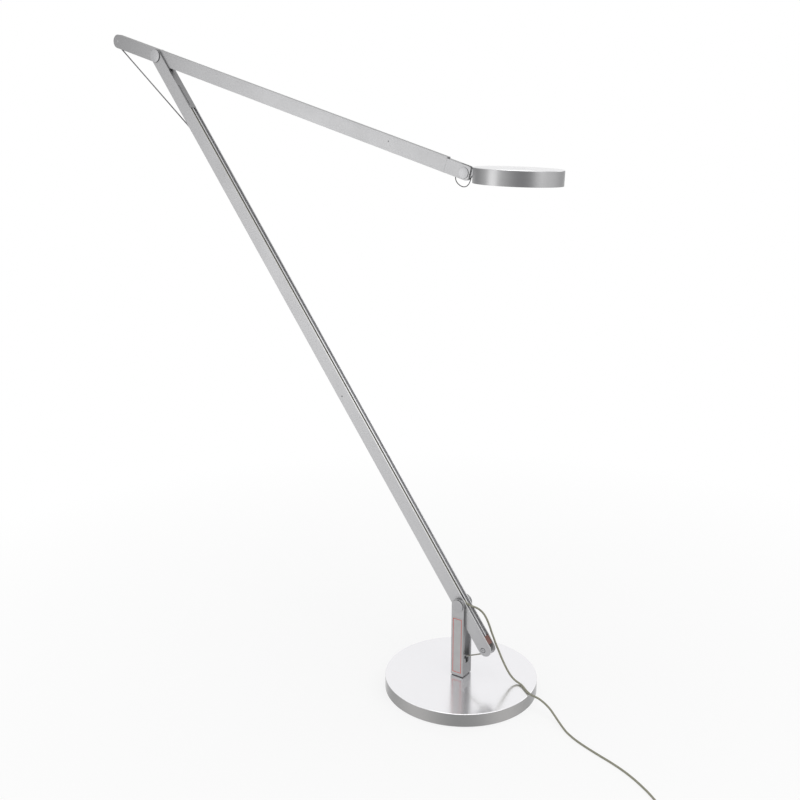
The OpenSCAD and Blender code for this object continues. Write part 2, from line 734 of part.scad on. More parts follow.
upper_roller_side = 0.5;
upper_roller_w = upper_chamber_w - 2 * upper_roller_side;
module upper_roller() color("whitesmoke") on_upper() roller(-upper_tail, 0, upper_roller_w);

module upper_roller_pin() color(steel) on_upper() {
    across(-upper_tail, 0, roller_pin_d, -upper_w / 2, upper_w / 2);
    for (s = [-1, 1]) across(-upper_tail, 0, roller_pin_d + 2 * spacer_wall,
        s * (upper_roller_w / 2 + roller_play), s * upper_chamber_w / 2);
}

module upper_slider() color(steel) on_upper()
    block([upper_slider_x, -upper_chamber_w / 2 + seat_gap, upper_cable_z + upper_cable_d],
        [upper_slider_x + upper_slider_l, upper_chamber_w / 2 - seat_gap, upper_chamber_h / 2 - seat_gap]);

upper_spring_wall = 1;
module upper_spring() color(steel) on_upper()
    translate([upper_slider_x + upper_slider_l, 0, upper_spring_z]) rotate([0, 90, 0])
        sleeve_spring(upper_spring_d, upper_spring_wall, upper_spring_end - upper_slider_x - upper_slider_l);

module upper_spring_pin() color(steel) on_upper() {
    across(upper_spring_end + pin_past_spring, upper_spring_z, upper_pin_d, -upper_w / 2, upper_w / 2);
    translate([upper_spring_end, 0, upper_spring_z]) rotate([0, 90, 0])
        cylinder(d = upper_spring_d - 2 * (upper_spring_wall + spring_play), h = plug_l);
}

module upper_inner_string() color(cord_grey) on_upper()
    translate([-upper_tail, 0, upper_string_z]) rotate([0, 90, 0])
        cylinder(d = string_d, h = upper_slider_x + upper_tail - seat_gap);

module upper_cable() color(dark) on_upper()
    translate([lead_hole_x + upper_cable_d, 0, upper_cable_z]) rotate([0, 90, 0])
        cylinder(d = upper_cable_d, h = fitting_start - lead_hole_x - upper_cable_d);

// ---- Head hinge ----

fitting_mid = -fitting_drop;
fitting_under = 10.5;
fitting_z0 = fitting_mid - fitting_under;
fitting_past_hinge = 11;
fitting_corner = 6;
cheek_l = 10.5;
fitting_plug = 26;
wire_back = 15;
wire_hole_l = 3;

module head_fitting() color(silver) on_upper() difference() {
    union() {
        block([fitting_start, -upper_w / 2, fitting_z0],
            [upper_len + fitting_past_hinge - fitting_corner, upper_w / 2, fitting_z0 + fitting_h]);
        block([fitting_start, -upper_w / 2, fitting_z0 + fitting_corner],
            [upper_len + fitting_past_hinge, upper_w / 2, fitting_z0 + fitting_h - fitting_corner]);
        for (z = [fitting_corner, fitting_h - fitting_corner])
            across(upper_len + fitting_past_hinge - fitting_corner, fitting_z0 + z, 2 * fitting_corner,
                -upper_w / 2, upper_w / 2);
        block([fitting_start - fitting_plug, -upper_chamber_w / 2, upper_cable_z + upper_cable_d],
            [fitting_start + over, upper_chamber_w / 2, upper_chamber_h / 2 - seat_gap]);
    }
    block([fitting_start, -upper_w, fitting_z0 + fitting_h], [upper_len, upper_w, profile_h]);
    block([upper_len - cheek_l, -upper_w / 2 + fitting_cheek, -profile_h],
        [upper_len + profile_h, upper_w / 2 - fitting_cheek, profile_h]);
    across(upper_len, fitting_mid, hinge_axle_d, -upper_w, upper_w);
    translate([upper_len - wire_back, 0, fitting_z0 - over])
        cylinder(d = wire_hole_d, h = wire_hole_l + over);
}

module hinge_axle() color(steel) on_upper()
    across(upper_len, fitting_mid, hinge_axle_d, -upper_w / 2, upper_w / 2);

module hinge_caps() color(bright) on_upper() for (s = [-1, 1])
    across(upper_len, fitting_mid, hinge_cap_d, s * upper_w / 2, s * (upper_w / 2 + hinge_cap_t));

module head_wire() color(dark) tube(laid(wire_route, 3), wire_d, 6);

// ---- Head: its own origin is the hinge, its middle plane lies at the hinge's height ----

shell_top = head_t / 2;
plate_t = 2.5;
foot_half = 3;
foot_l = 3;
screw_rises = [-4.8, -0.4];
bar_half = knuckle_r - 1;

module head_knuckle() color(silver) on_head() difference() {
    union() {
        across(0, 0, 2 * knuckle_r, -tongue_w / 2, tongue_w / 2);
        block([0, -tongue_w / 2, -bar_half], [knuckle_len + head_wall, tongue_w / 2, bar_half]);
        block([knuckle_len - foot_l, -foot_half, -bar_half], [knuckle_len + head_wall, foot_half, bar_half]);
    }
    across(0, 0, hinge_axle_d + 2 * running_gap, -knuckle_r, knuckle_r);
    translate([head_x, 0, -head_t]) cylinder(d = head_d, h = 2 * head_t, $fn = 180);
    for (z = screw_rises) translate([knuckle_len - screw_reach, 0, z]) rotate([0, 90, 0])
        cylinder(d = screw_d, h = 2 * screw_reach);
}

module knuckle_screws() color(steel) on_head() for (z = screw_rises)
    translate([knuckle_len - screw_reach, 0, z]) rotate([0, 90, 0]) {
        cylinder(d = screw_d, h = screw_reach + head_wall + over);
        translate([0, 0, screw_reach + head_wall + screw_washer])
            cylinder(d = screw_head_d, h = screw_head_t);
    }

board_down = 7;
board_z = shell_top - plate_t - board_down;
spreader_t = 3;
boss_d = 8;
boss_r = 52;
shell_edge_r = 1.5;
module head_shell() color(steel) on_head() difference() {
    union() {
        translate([head_x, 0, -shell_top]) rotate_extrude($fn = 180) difference() {
            union() {
                square([head_d / 2, head_t - shell_edge_r]);
                square([head_d / 2 - shell_edge_r, head_t]);
                translate([head_d / 2 - shell_edge_r, head_t - shell_edge_r])
                    circle(shell_edge_r, $fn = 32);
            }
            translate([0, -over]) square([head_d / 2 - head_wall, head_t - plate_t + over]);
        }
        for (a = [60, 180, 300]) translate([head_x, 0, 0]) rotate([0, 0, a])
            translate([boss_r, 0, board_z + spreader_t])
                cylinder(d = boss_d, h = shell_top - plate_t - board_z - spreader_t + over);
    }
    translate([head_x, 0, 0]) cylinder(d = button_d + 2 * seat_gap, h = head_t);
    for (z = screw_rises) translate([knuckle_len - screw_reach, 0, z]) rotate([0, 90, 0])
        cylinder(d = screw_d, h = 2 * screw_reach);
    translate([knuckle_len - screw_reach, wire_entry[0], wire_entry[1]]) rotate([0, 90, 0])
        cylinder(d = wire_hole_d, h = 2 * screw_reach);
}

board_t = 1.6;
chip_w = 3.2;
chip_t = 0.8;
board_hole_d = 44;
board_margin = 12;
module heat_spreader() color(bright) on_head() translate([head_x, 0, board_z])
    cylinder(d = head_d - 2 * head_wall - 2 * seat_gap, h = spreader_t, $fn = 120);

module led_board() color("seashell") on_head() translate([head_x, 0, board_z - board_t]) difference() {
    cylinder(d = head_d - 2 * board_margin, h = board_t, $fn = 120);
    translate([0, 0, -over]) cylinder(d = board_hole_d, h = board_t + 2 * over);
}

led_count = 24;
led_ring_r = 40;
module led_chips() color("gold") on_head() translate([head_x, 0, board_z - board_t - chip_t])
    for (i = [0 : led_count - 1]) rotate([0, 0, 360 * i / led_count])
        translate([led_ring_r - chip_w / 2, -chip_w / 2, 0]) cube([chip_w, chip_w, chip_t]);

lip_t = 1.2;
lip_z = seat_gap - shell_top;
lip_w = 4;
module retaining_ring() color(steel) on_head() translate([head_x, 0, lip_z]) difference() {
    cylinder(d = head_d - 2 * head_wall, h = lip_t, $fn = 120);
    translate([0, 0, -over])
        cylinder(d = head_d - 2 * (head_wall + lip_w), h = lip_t + 2 * over, $fn = 120);
}

module diffuser() color(opal) on_head() translate([head_x, 0, lip_z + lip_t])
    cylinder(d = head_d - 2 * head_wall - 2 * seat_gap, h = glass_t, $fn = 120);

switch_w = 12;
switch_t = 1.6;
switch_top = board_z + spreader_t + switch_t;
module dimmer_switch() color(dark) on_head()
    translate([head_x - switch_w / 2, -switch_w / 2, board_z + spreader_t])
        cube([switch_w, switch_w, switch_t]);

stem_d = 5;
button_rim = 1;
button_rim_w = 1.5;
button_slack = 0.1;
module dimmer_button() color(steel) on_head() translate([head_x, 0, 0]) {
    translate([0, 0, shell_top - plate_t]) cylinder(d = button_d, h = plate_t);
    translate([0, 0, shell_top - plate_t - button_rim])
        cylinder(d = button_d + 2 * button_rim_w, h = button_rim);
    translate([0, 0, switch_top + button_travel + button_slack])
        cylinder(d = stem_d, h = shell_top - plate_t - switch_top - button_travel);
}

// ---- Power lead ----

module cord_lead() color(cord_grey) tube(laid(lead_route, 3), cord_d, 8);
module cord_drop() color(cord_grey) tube(laid(drop_route, 2), cord_d, 8);
module cord_floor() color(cord_grey) tube(laid(floor_route, 2), cord_d, 8);
module cord_coil() color(cord_grey) tube(coil_path, cord_d, 6);
module cord_tail() color(cord_grey) tube(laid(tail_route, 2), cord_d, 8);

adapter_at = tail_route[len(tail_route) - 1];
relief_l = 22;
relief_d = 9;
relief_room = 0.5;
module on_adapter() translate(adapter_at) children();

module adapter_relief() color(dark) on_adapter() rotate([0, 90, 0])
    cylinder(d1 = cord_d + 2 * relief_room, d2 = relief_d, h = relief_l);

module adapter_body() color(dark) on_adapter()
    block([relief_l, -adapter_w / 2, -adapter_at[2]],
        [relief_l + adapter_l, adapter_w / 2, adapter_h - adapter_at[2]]);

pin_spacing = 19;
module adapter_pins() color(steel) on_adapter() for (s = [-1, 1])
    translate([relief_l + adapter_l, s * pin_spacing / 2, 0]) rotate([0, 90, 0])
        cylinder(d = pin_d, h = pin_len);

base_disc();
base_pad();
swivel_bush();
thrust_disc();
swivel_bolt();
swivel_washer();
post_fork();
shoulder_axle();
shoulder_caps();
anchor_pin();
rating_label();
lower_string();
lower_profile();
shoulder_bushes();
lower_roller();
lower_roller_pin();
channel_stop();
lower_slider();
lower_spring();
lower_spring_pin();
lower_inner_string();
lower_cable();
cord_grommet();
elbow_fork();
elbow_axle();
elbow_caps();
string_eye();
upper_string();
elbow_lead();
upper_profile();
elbow_bushes();
upper_roller();
upper_roller_pin();
upper_slider();
upper_spring();
upper_spring_pin();
upper_inner_string();
upper_cable();
head_fitting();
hinge_axle();
hinge_caps();
head_wire();
head_knuckle();
knuckle_screws();
head_shell();
heat_spreader();
led_board();
led_chips();
diffuser();
retaining_ring();
dimmer_switch();
dimmer_button();
cord_lead();
cord_drop();
cord_floor();
cord_coil();
cord_tail();
adapter_relief();
adapter_body();
adapter_pins();
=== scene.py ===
"""Office floor lamp with two balanced arms: its cords, modelled pieces, finishes and studio."""

import json
import math

import bmesh
import bpy
from bpy.props import FloatProperty, FloatVectorProperty, IntProperty, PointerProperty
from mathutils import Matrix, Vector


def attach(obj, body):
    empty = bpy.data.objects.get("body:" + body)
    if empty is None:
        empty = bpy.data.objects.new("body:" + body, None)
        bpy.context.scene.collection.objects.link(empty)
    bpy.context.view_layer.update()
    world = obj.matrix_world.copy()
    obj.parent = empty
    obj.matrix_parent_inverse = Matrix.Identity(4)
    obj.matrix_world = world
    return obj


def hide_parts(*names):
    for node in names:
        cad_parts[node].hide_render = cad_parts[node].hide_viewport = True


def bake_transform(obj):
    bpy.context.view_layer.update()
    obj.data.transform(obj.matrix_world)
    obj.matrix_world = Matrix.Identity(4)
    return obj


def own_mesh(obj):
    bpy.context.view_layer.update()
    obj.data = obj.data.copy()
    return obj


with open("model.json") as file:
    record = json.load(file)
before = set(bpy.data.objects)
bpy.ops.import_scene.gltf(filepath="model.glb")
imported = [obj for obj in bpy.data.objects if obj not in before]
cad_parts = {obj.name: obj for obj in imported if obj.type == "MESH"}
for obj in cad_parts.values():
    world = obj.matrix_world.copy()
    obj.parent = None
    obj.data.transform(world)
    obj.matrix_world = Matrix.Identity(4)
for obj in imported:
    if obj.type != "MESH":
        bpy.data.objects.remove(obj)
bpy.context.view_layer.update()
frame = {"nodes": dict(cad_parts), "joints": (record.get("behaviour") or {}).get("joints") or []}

bl_info = {
    "name": "Balanced Arm Floor Lamp",
    "version": (1, 0, 0),
    "blender": (4, 5, 0),
    "location": "3D View > Sidebar > Lamp",
    "description": "Builds the visible pieces, cords, finishes and studio of an office floor lamp",
    "category": "Add Mesh",
}

# ---- The frame: pivots and the places of the arms and the head ----

PIVOTS = {joint["name"]: Vector(joint["pos_m"]) for joint in frame["joints"] if joint["type"] == "hinge"}
SHOULDER = PIVOTS["shoulder_tilt"]
ELBOW = PIVOTS["elbow_tilt"]
HINGE = PIVOTS["head_tilt"]
FITTING_DROP = 0.002
HEAD_TIP = math.radians(2.2)

lower_lean = math.atan2(SHOULDER.x - ELBOW.x, ELBOW.z - SHOULDER.z)
upper_reach = (HINGE - ELBOW).length
upper_drop = math.atan2(ELBOW.z - HINGE.z, HINGE.x - ELBOW.x) - math.asin(FITTING_DROP / upper_reach)
UPPER_LEN = math.sqrt(upper_reach**2 - FITTING_DROP**2)

ON_FLOOR = Matrix.Identity(4)
ON_LOWER = Matrix.Translation(SHOULDER) @ Matrix.Rotation(-lower_lean, 4, "Y")
ON_UPPER = Matrix.Translation(ELBOW) @ Matrix.Rotation(upper_drop, 4, "Y")
ON_HEAD = Matrix.Translation(HINGE) @ Matrix.Rotation(HEAD_TIP, 4, "Y")


def span(node, place=ON_FLOOR):
    """Lowest and highest corner of a CAD node, measured in the frame of an arm or the head."""
    back = place.inverted()
    points = [back @ v.co for v in frame["nodes"][node].data.vertices]
    lo = Vector([min(p[i] for p in points) for i in range(3)])
    hi = Vector([max(p[i] for p in points) for i in range(3)])
    return lo, hi


def middle(node_name, place=ON_FLOOR):
    """The middle of a CAD node's box."""
    lo, hi = span(node_name, place)
    return (lo + hi) / 2


# ---- Sizes and colours that a user would change ----


def metres(label, words, value):
    """A length property."""
    return FloatProperty(name=label, description=words, default=value, unit="LENGTH")


class LampSizes(bpy.types.PropertyGroup):
    """Sizes of the fine detail."""

    edge_round: metres("Edge round", "Width of the small round on every machined edge", 0.0004)
    cord_sides: IntProperty(name="Cord sides", description="Number of faces round a cord", default=14, min=8)
    keyline: metres("Keyline", "Width of the line round the blank label", 0.0011)


def colour_of(label, words, rgb):
    """A colour property with a default in linear light."""
    return FloatVectorProperty(
        name=label, description=words, default=rgb, size=3, subtype="COLOR", min=0, max=1
    )


class LampColours(bpy.types.PropertyGroup):
    """Colours of the finishes, in linear light."""

    aluminium: colour_of("Arms", "Satin anodised aluminium of the arms and the post", (0.45, 0.45, 0.457))
    base: colour_of("Base", "Fine satin steel of the base disc", (0.90, 0.895, 0.915))
    head: colour_of("Head", "Turned aluminium of the head's top", (0.74, 0.74, 0.75))
    caps: colour_of("Caps", "Round caps over the axles", (0.44, 0.44, 0.45))
    cord: colour_of("Power cord", "Sheath of the power cord", (0.27, 0.265, 0.205))
    string: colour_of("Balance cords", "Sheath of the balance cords", (0.36, 0.35, 0.30))
    keyline: colour_of("Keyline", "Line round the blank label", (0.62, 0.06, 0.04))


def sizes():
    return bpy.context.scene.lamp_sizes


def colours():
    return bpy.context.scene.lamp_colours


# ---- Node trees ----


def node(tree, kind, inputs=None, **settings):
    """Adds a node; an input is a value or the socket that feeds it."""
    made = tree.nodes.new(kind)
    for key, value in settings.items():
        setattr(made, key, value)
    for key, value in (inputs or {}).items():
        if isinstance(value, bpy.types.NodeSocket):
            tree.links.new(value, made.inputs[key])
        else:
            made.inputs[key].default_value = value
    return made


def maths(tree, operation, *values):
    """The result of one Math node."""
    return node(tree, "ShaderNodeMath", dict(enumerate(values)), operation=operation).outputs[0]


def vectors(tree, operation, *values):
    """One Vector Math node."""
    return node(tree, "ShaderNodeVectorMath", dict(enumerate(values)), operation=operation)


def ramped(tree, value, first, last, low=0.0, high=1.0):
    """A number that goes from low to high while a value goes from first to last."""
    ends = {"From Min": first, "From Max": last, "To Min": low, "To Max": high}
    return node(tree, "ShaderNodeMapRange", {"Value": value, **ends}).outputs[0]


def between(tree, mask, low, high):
    """A number that follows a mask from 0 to 1."""
    return ramped(tree, mask, 0.0, 1.0, low, high)


def noise(tree, vector, scale, detail, roughness=0.5):
    inputs = {"Vector": vector, "Scale": scale, "Detail": detail, "Roughness": roughness}
    return node(tree, "ShaderNodeTexNoise", inputs).outputs[0]


def split(tree, vector):
    """The three numbers of a vector."""
    return node(tree, "ShaderNodeSeparateXYZ", {0: vector}).outputs


def use(tree, made_group, **inputs):
    """Places a node group in a material."""
    return node(tree, "ShaderNodeGroup", inputs, node_tree=made_group)


def group(name, inputs, outputs):
    """An empty node group: an input without a default is a vector, and so is an output named Vector."""
    tree = bpy.data.node_groups.new(name, "ShaderNodeTree")
    for label, value in inputs.items():
        kind = "NodeSocketVector" if value is None else "NodeSocketFloat"
        made = tree.interface.new_socket(label, in_out="INPUT", socket_type=kind)
        if value is not None:
            made.default_value = value
    for label in outputs:
        kind = "NodeSocketVector" if label == "Vector" else "NodeSocketFloat"
        tree.interface.new_socket(label, in_out="OUTPUT", socket_type=kind)
    return tree, tree.nodes.new("NodeGroupInput"), tree.nodes.new("NodeGroupOutput")


def once(build):
    """Builds a node group the first time it is asked for, and finds it after that."""
    name = build.__name__.replace("_", " ")
    return lambda: bpy.data.node_groups.get(name) or build(name)


@once
def brushed_grain(name):
    """Fine scratches that run along X of the coordinate they are given."""
    inputs = {"Vector": None, "Along": 30.0, "Across": 2500.0}
    tree, given, out = group(name, inputs, ("Height", "Streak"))
    vector, along, across = list(given.outputs)[:3]
    scale = node(tree, "ShaderNodeCombineXYZ", {0: along, 1: across, 2: across}).outputs[0]
    stretched = vectors(tree, "MULTIPLY", vector, scale).outputs[0]
    fine = noise(tree, stretched, 1.0, 3.0, 0.6)
    broad = noise(tree, stretched, 0.12, 2.0)
    shares = maths(tree, "MULTIPLY", fine, 0.35), maths(tree, "MULTIPLY", broad, 0.65)
    tree.links.new(fine, out.inputs["Height"])
    tree.links.new(maths(tree, "ADD", *shares), out.inputs["Streak"])
    return tree


@once
def turned_coordinate(name):
    """Turns a coordinate into the angle, radius and height round Z, so that lines run round."""
    tree, given, out = group(name, {"Vector": None}, ("Vector",))
    x, y, z = split(tree, given.outputs[0])
    squares = maths(tree, "MULTIPLY", x, x), maths(tree, "MULTIPLY", y, y)
    radius = maths(tree, "SQRT", maths(tree, "ADD", *squares))
    # The angle is folded at the back, so that the pattern has no seam
    angle = maths(tree, "MULTIPLY", maths(tree, "ABSOLUTE", maths(tree, "ARCTAN2", x, y)), 0.1)
    turned = node(tree, "ShaderNodeCombineXYZ", {0: angle, 1: radius, 2: z})
    tree.links.new(turned.outputs[0], out.inputs[0])
    return tree


@once
def handling_marks(name):
    """Soft cloudy mask of handling, from 0 to 1."""
    tree, given, out = group(name, {"Vector": None, "Scale": 18.0}, ("Mask",))
    cloud = noise(tree, given.outputs["Vector"], given.outputs["Scale"], 4.0, 0.62)
    tree.links.new(ramped(tree, cloud, 0.3, 0.7), out.inputs[0])
    return tree


@once
def painted_reflection_lobes(name):
    """Painted reflection: broad soft lobes of light and dark round Z, like the reflections turned metal
    shows, from 0 to 1.
    """
    tree, given, out = group(name, {"Vector": None, "Lobes": 5.0, "Peak": 0.0}, ("Mask",))
    x, y, _ = split(tree, given.outputs["Vector"])
    angle = maths(tree, "SUBTRACT", maths(tree, "ARCTAN2", y, x), given.outputs["Peak"])
    drift = noise(tree, given.outputs["Vector"], 9.0, 1.0)
    phase = maths(tree, "ADD", maths(tree, "MULTIPLY", angle, given.outputs["Lobes"]), drift)
    tree.links.new(maths(tree, "MULTIPLY_ADD", maths(tree, "COSINE", phase), 0.5, 0.5), out.inputs[0])
    return tree


@once
def moulded_skin(name):
    """Fine pebbled skin of moulded plastic and rubber."""
    tree, given, out = group(name, {"Vector": None, "Scale": 1800.0}, ("Height",))
    inputs = {key: given.outputs[key] for key in ("Vector", "Scale")}
    cells = node(tree, "ShaderNodeTexVoronoi", inputs, feature="SMOOTH_F1")
    tree.links.new(cells.outputs["Distance"], out.inputs[0])
    return tree


@once
def broad_sides(name):
    """1 on the faces that look along Y, the broad sides of the arms, and 0 on the narrow ones."""
    tree, given, out = group(name, {"Normal": None}, ("Mask",))
    sideways = maths(tree, "ABSOLUTE", split(tree, given.outputs[0])[1])
    tree.links.new(ramped(tree, sideways, 0.72, 0.92), out.inputs[0])
    return tree


@once
def reach_along(name):
    """Metres along a direction from a foot point."""
    tree, given, out = group(name, {"Vector": None, "Foot": None, "Way": None}, ("Reach",))
    off = vectors(tree, "SUBTRACT", given.outputs["Vector"], given.outputs["Foot"]).outputs[0]
    reach = vectors(tree, "DOT_PRODUCT", off, given.outputs["Way"])
    tree.links.new(reach.outputs["Value"], out.inputs[0])
    return tree


def blank(name):
    """A new material, its tree and its Principled node."""
    material = bpy.data.materials.new(name)
    material.use_nodes = True
    return material, material.node_tree, material.node_tree.nodes["Principled BSDF"]


def coordinate(tree, kind="Object"):
    return node(tree, "ShaderNodeTexCoord").outputs[kind]


def mixed(tree, factor, low, high, **settings):
    """A colour between two, each one a colour or the socket that feeds it."""
    mix = node(tree, "ShaderNodeMix", {"Factor": factor}, data_type="RGBA", **settings)
    for key, value in (("A", low), ("B", high)):
        if isinstance(value, bpy.types.NodeSocket):
            tree.links.new(value, mix.inputs[key])
        else:
            mix.inputs[key].default_value = (*value, 1)
    return mix.outputs["Result"]


def tinted(rgb, share):
    """A colour made lighter or darker by a share."""
    return tuple(min(1.0, c * share) for c in rgb)


def surface(tree, face, tone, roughness, metallic=0.0, bump=None):
    """Gives a face its colour, roughness and metal, and a bump of (strength, metres, height)."""
    tree.links.new(tone, face.inputs["Base Color"])
    if isinstance(roughness, float):
        face.inputs["Roughness"].default_value = roughness
    else:
        tree.links.new(roughness, face.inputs["Roughness"])
    face.inputs["Metallic"].default_value = metallic
    if bump:
        made = node(tree, "ShaderNodeBump", dict(zip(("Strength", "Distance", "Height"), bump)))
        tree.links.new(made.outputs[0], face.inputs["Normal"])


# ---- Finishes, one for each material slot of the record ----


def brushed_metal(name, rgb, roughness, metallic, turn=(0, 0, 0), flow=25.0, pitch=2600.0, depth=0.00002):
    """Satin metal with fine lines along X once the coordinate is turned."""
    material, tree, face = blank(name)
    where = coordinate(tree)
    aligned = node(tree, "ShaderNodeMapping", {"Vector": where, "Rotation": turn}).outputs[0]
    grain = use(tree, brushed_grain(), Vector=aligned, Along=flow, Across=pitch)
    marks = use(tree, handling_marks(), Vector=where, Scale=16.0).outputs[0]
    tone = mixed(tree, grain.outputs["Streak"], tinted(rgb, 0.97), tinted(rgb, 1.03))
    rough = between(tree, marks, roughness - 0.03, roughness + 0.05)
    surface(tree, face, tone, rough, metallic, (0.5, depth, grain.outputs["Height"]))
    return material


def turned_metal(name, rgb, roughness, metallic, centre, rim, peak, tip=0.0, depth=0.00002, contrast=0.04):
    """Metal turned on a lathe: fine lines run round the piece's own axis.

    The rim is painted darker than the top as painted shade, between the dark and the light of its painted
    reflection bands, and the top keeps the plain colour."""
    material, tree, face = blank(name)
    where = coordinate(tree)
    moved = vectors(tree, "SUBTRACT", where, centre).outputs[0]
    level = node(tree, "ShaderNodeMapping", {"Vector": moved, "Rotation": (0, -tip, 0)}).outputs[0]
    round_about = use(tree, turned_coordinate(), Vector=level).outputs[0]
    grain = use(tree, brushed_grain(), Vector=round_about, Along=6.0, Across=1900.0)
    marks = use(tree, handling_marks(), Vector=where, Scale=12.0).outputs[0]
    lobes = use(tree, painted_reflection_lobes(), Vector=level, Peak=math.radians(peak)).outputs[0]
    # The rim, where the face's own normal lies level, gets painted shade and painted reflection bands
    top = ramped(tree, maths(tree, "ABSOLUTE", split(tree, coordinate(tree, "Normal"))[2]), 0.25, 0.6)
    tone = mixed(tree, top, mixed(tree, lobes, *rim), rgb)
    streaks = mixed(tree, grain.outputs["Streak"], (1 - 2 * contrast,) * 3, (1, 1, 1))
    tone = mixed(tree, 1.0, tone, streaks, blend_type="MULTIPLY")
    rough = between(tree, marks, roughness - 0.02, roughness + 0.04)
    surface(tree, face, tone, rough, metallic, (0.5, depth, grain.outputs["Height"]))
    return material


def moulded(name, rgb, roughness, skin=1800.0, depth=0.00002):
    """Plastic or rubber with a fine moulded skin."""
    material, tree, face = blank(name)
    where = coordinate(tree)
    pebbles = use(tree, moulded_skin(), Vector=where, Scale=skin).outputs[0]
    marks = use(tree, handling_marks(), Vector=where, Scale=40.0).outputs[0]
    tone = mixed(tree, marks, tinted(rgb, 0.94), tinted(rgb, 1.05))
    rough = between(tree, marks, roughness - 0.05, roughness + 0.06)
    surface(tree, face, tone, rough, bump=(0.4, depth, pebbles))
    return material


def twisted_cord(name, rgb, roughness):
    """A cord of twisted strands: the strands follow the UV map, in turns a metre along."""
    lay, strands, depth = 260.0, 6.0, 0.00008
    material, tree, face = blank(name)
    u, v, _ = split(tree, node(tree, "ShaderNodeUVMap", uv_map="along").outputs[0])
    phase = maths(tree, "ADD", maths(tree, "MULTIPLY", u, lay), maths(tree, "MULTIPLY", v, strands))
    strand = maths(tree, "SINE", maths(tree, "MULTIPLY", phase, math.tau))
    height = between(tree, maths(tree, "MULTIPLY_ADD", strand, 0.5, 0.5), 0.0, 1.0)
    # Painted shade in the grooves between the strands, and the strands' crowns painted lighter
    tone = mixed(tree, height, tinted(rgb, 0.72), tinted(rgb, 1.1))
    surface(tree, face, tone, roughness, bump=(0.6, depth, height))
    return material


def sheathed_cord(name):
    """Smooth extruded sheath with a faint lengthwise flow."""
    rgb = colours().cord
    material, tree, face = blank(name)
    uv = node(tree, "ShaderNodeUVMap", uv_map="along").outputs[0]
    flow = noise(tree, vectors(tree, "MULTIPLY", uv, (60.0, 9.0, 0.0)).outputs[0], 1.0, 3.0)
    tone = mixed(tree, flow, tinted(rgb, 0.9), tinted(rgb, 1.1))
    surface(tree, face, tone, between(tree, flow, 0.42, 0.56), bump=(0.3, 0.0001, flow))
    return material


def blank_label(name):
    """Pale film with a plain line round it, drawn from the label's own size."""
    lo, hi = span("rating_label")
    line, inset = sizes().keyline, 2 * sizes().keyline
    material, tree, face = blank(name)
    where = coordinate(tree)
    x, _, z = split(tree, where)
    beside = maths(tree, "SUBTRACT", hi.x, maths(tree, "ABSOLUTE", x))
    off_middle = maths(tree, "ABSOLUTE", maths(tree, "SUBTRACT", z, (lo.z + hi.z) / 2))
    rim = maths(tree, "MINIMUM", beside, maths(tree, "SUBTRACT", (hi.z - lo.z) / 2, off_middle))
    ends = maths(tree, "GREATER_THAN", rim, inset), maths(tree, "LESS_THAN", rim, inset + line)
    marks = use(tree, handling_marks(), Vector=where, Scale=60.0).outputs[0]
    film = mixed(tree, marks, (0.47, 0.47, 0.475), (0.52, 0.52, 0.52))
    tone = mixed(tree, maths(tree, "MULTIPLY", *ends), film, colours().keyline)
    surface(tree, face, tone, between(tree, marks, 0.3, 0.42))
    return material


def opal_glass(name):
    """Opal diffuser, slightly translucent."""
    material, tree, face = blank(name)
    cloud = use(tree, handling_marks(), Vector=coordinate(tree), Scale=30.0).outputs[0]
    tone = mixed(tree, cloud, (0.82, 0.82, 0.80), (0.87, 0.87, 0.85))
    surface(tree, face, tone, between(tree, cloud, 0.4, 0.5))
    face.inputs["Subsurface Weight"].default_value = 0.3
    face.inputs["Subsurface Radius"].default_value = (0.002, 0.002, 0.002)
    return material


def capped_metal(name):
    """Satin caps across the arms: a pale face, and a turned rim painted dark as painted shade."""
    material = brushed_metal(name, colours().caps, 0.32, 0.75, flow=900.0, pitch=1500.0)
    tree, face = material.node_tree, material.node_tree.nodes["Principled BSDF"]
    flat_face = use(tree, broad_sides(), Normal=coordinate(tree, "Normal")).outputs[0]
    brushed = face.inputs["Base Color"].links[0].from_socket
    # Painted shade: the rim, whose faces turn away from Y, is painted dark
    tone = mixed(tree, flat_face, tinted(colours().caps, 0.22), brushed)
    tree.links.new(tone, face.inputs["Base Color"])
    return material


# For each part: its place, which of its axes runs along it, the share of painted shade on its narrow sides,
# and pairs of metres along it and the share of painted light and shade there
LOWER_PAINTED_LIGHT = ((-0.09, 1.0), (-0.03, 1.1), (0.1, 1.22), (0.4, 1.18), (0.62, 1.03), (1.05, 0.9))
UPPER_PAINTED_LIGHT = ((-0.11, 0.68), (0.0, 0.83), (0.08, 0.94), (0.3, 1.03), (0.62, 0.97))
ARM_PAINTED_LIGHT = {
    "post": (ON_FLOOR, 2, 0.5, ((0.03, 0.97), (0.16, 1.02))),
    "lower": (ON_LOWER, 2, 1.25, LOWER_PAINTED_LIGHT),
    "fork": (ON_LOWER, 2, 0.6, ((1.0, 0.9), (1.18, 0.88))),
    "upper": (ON_UPPER, 0, 0.6, UPPER_PAINTED_LIGHT),
}
# A colour ramp holds shares up to 1, so the shares above are divided by this and raised again after it
TOP_SHARE = 1.3


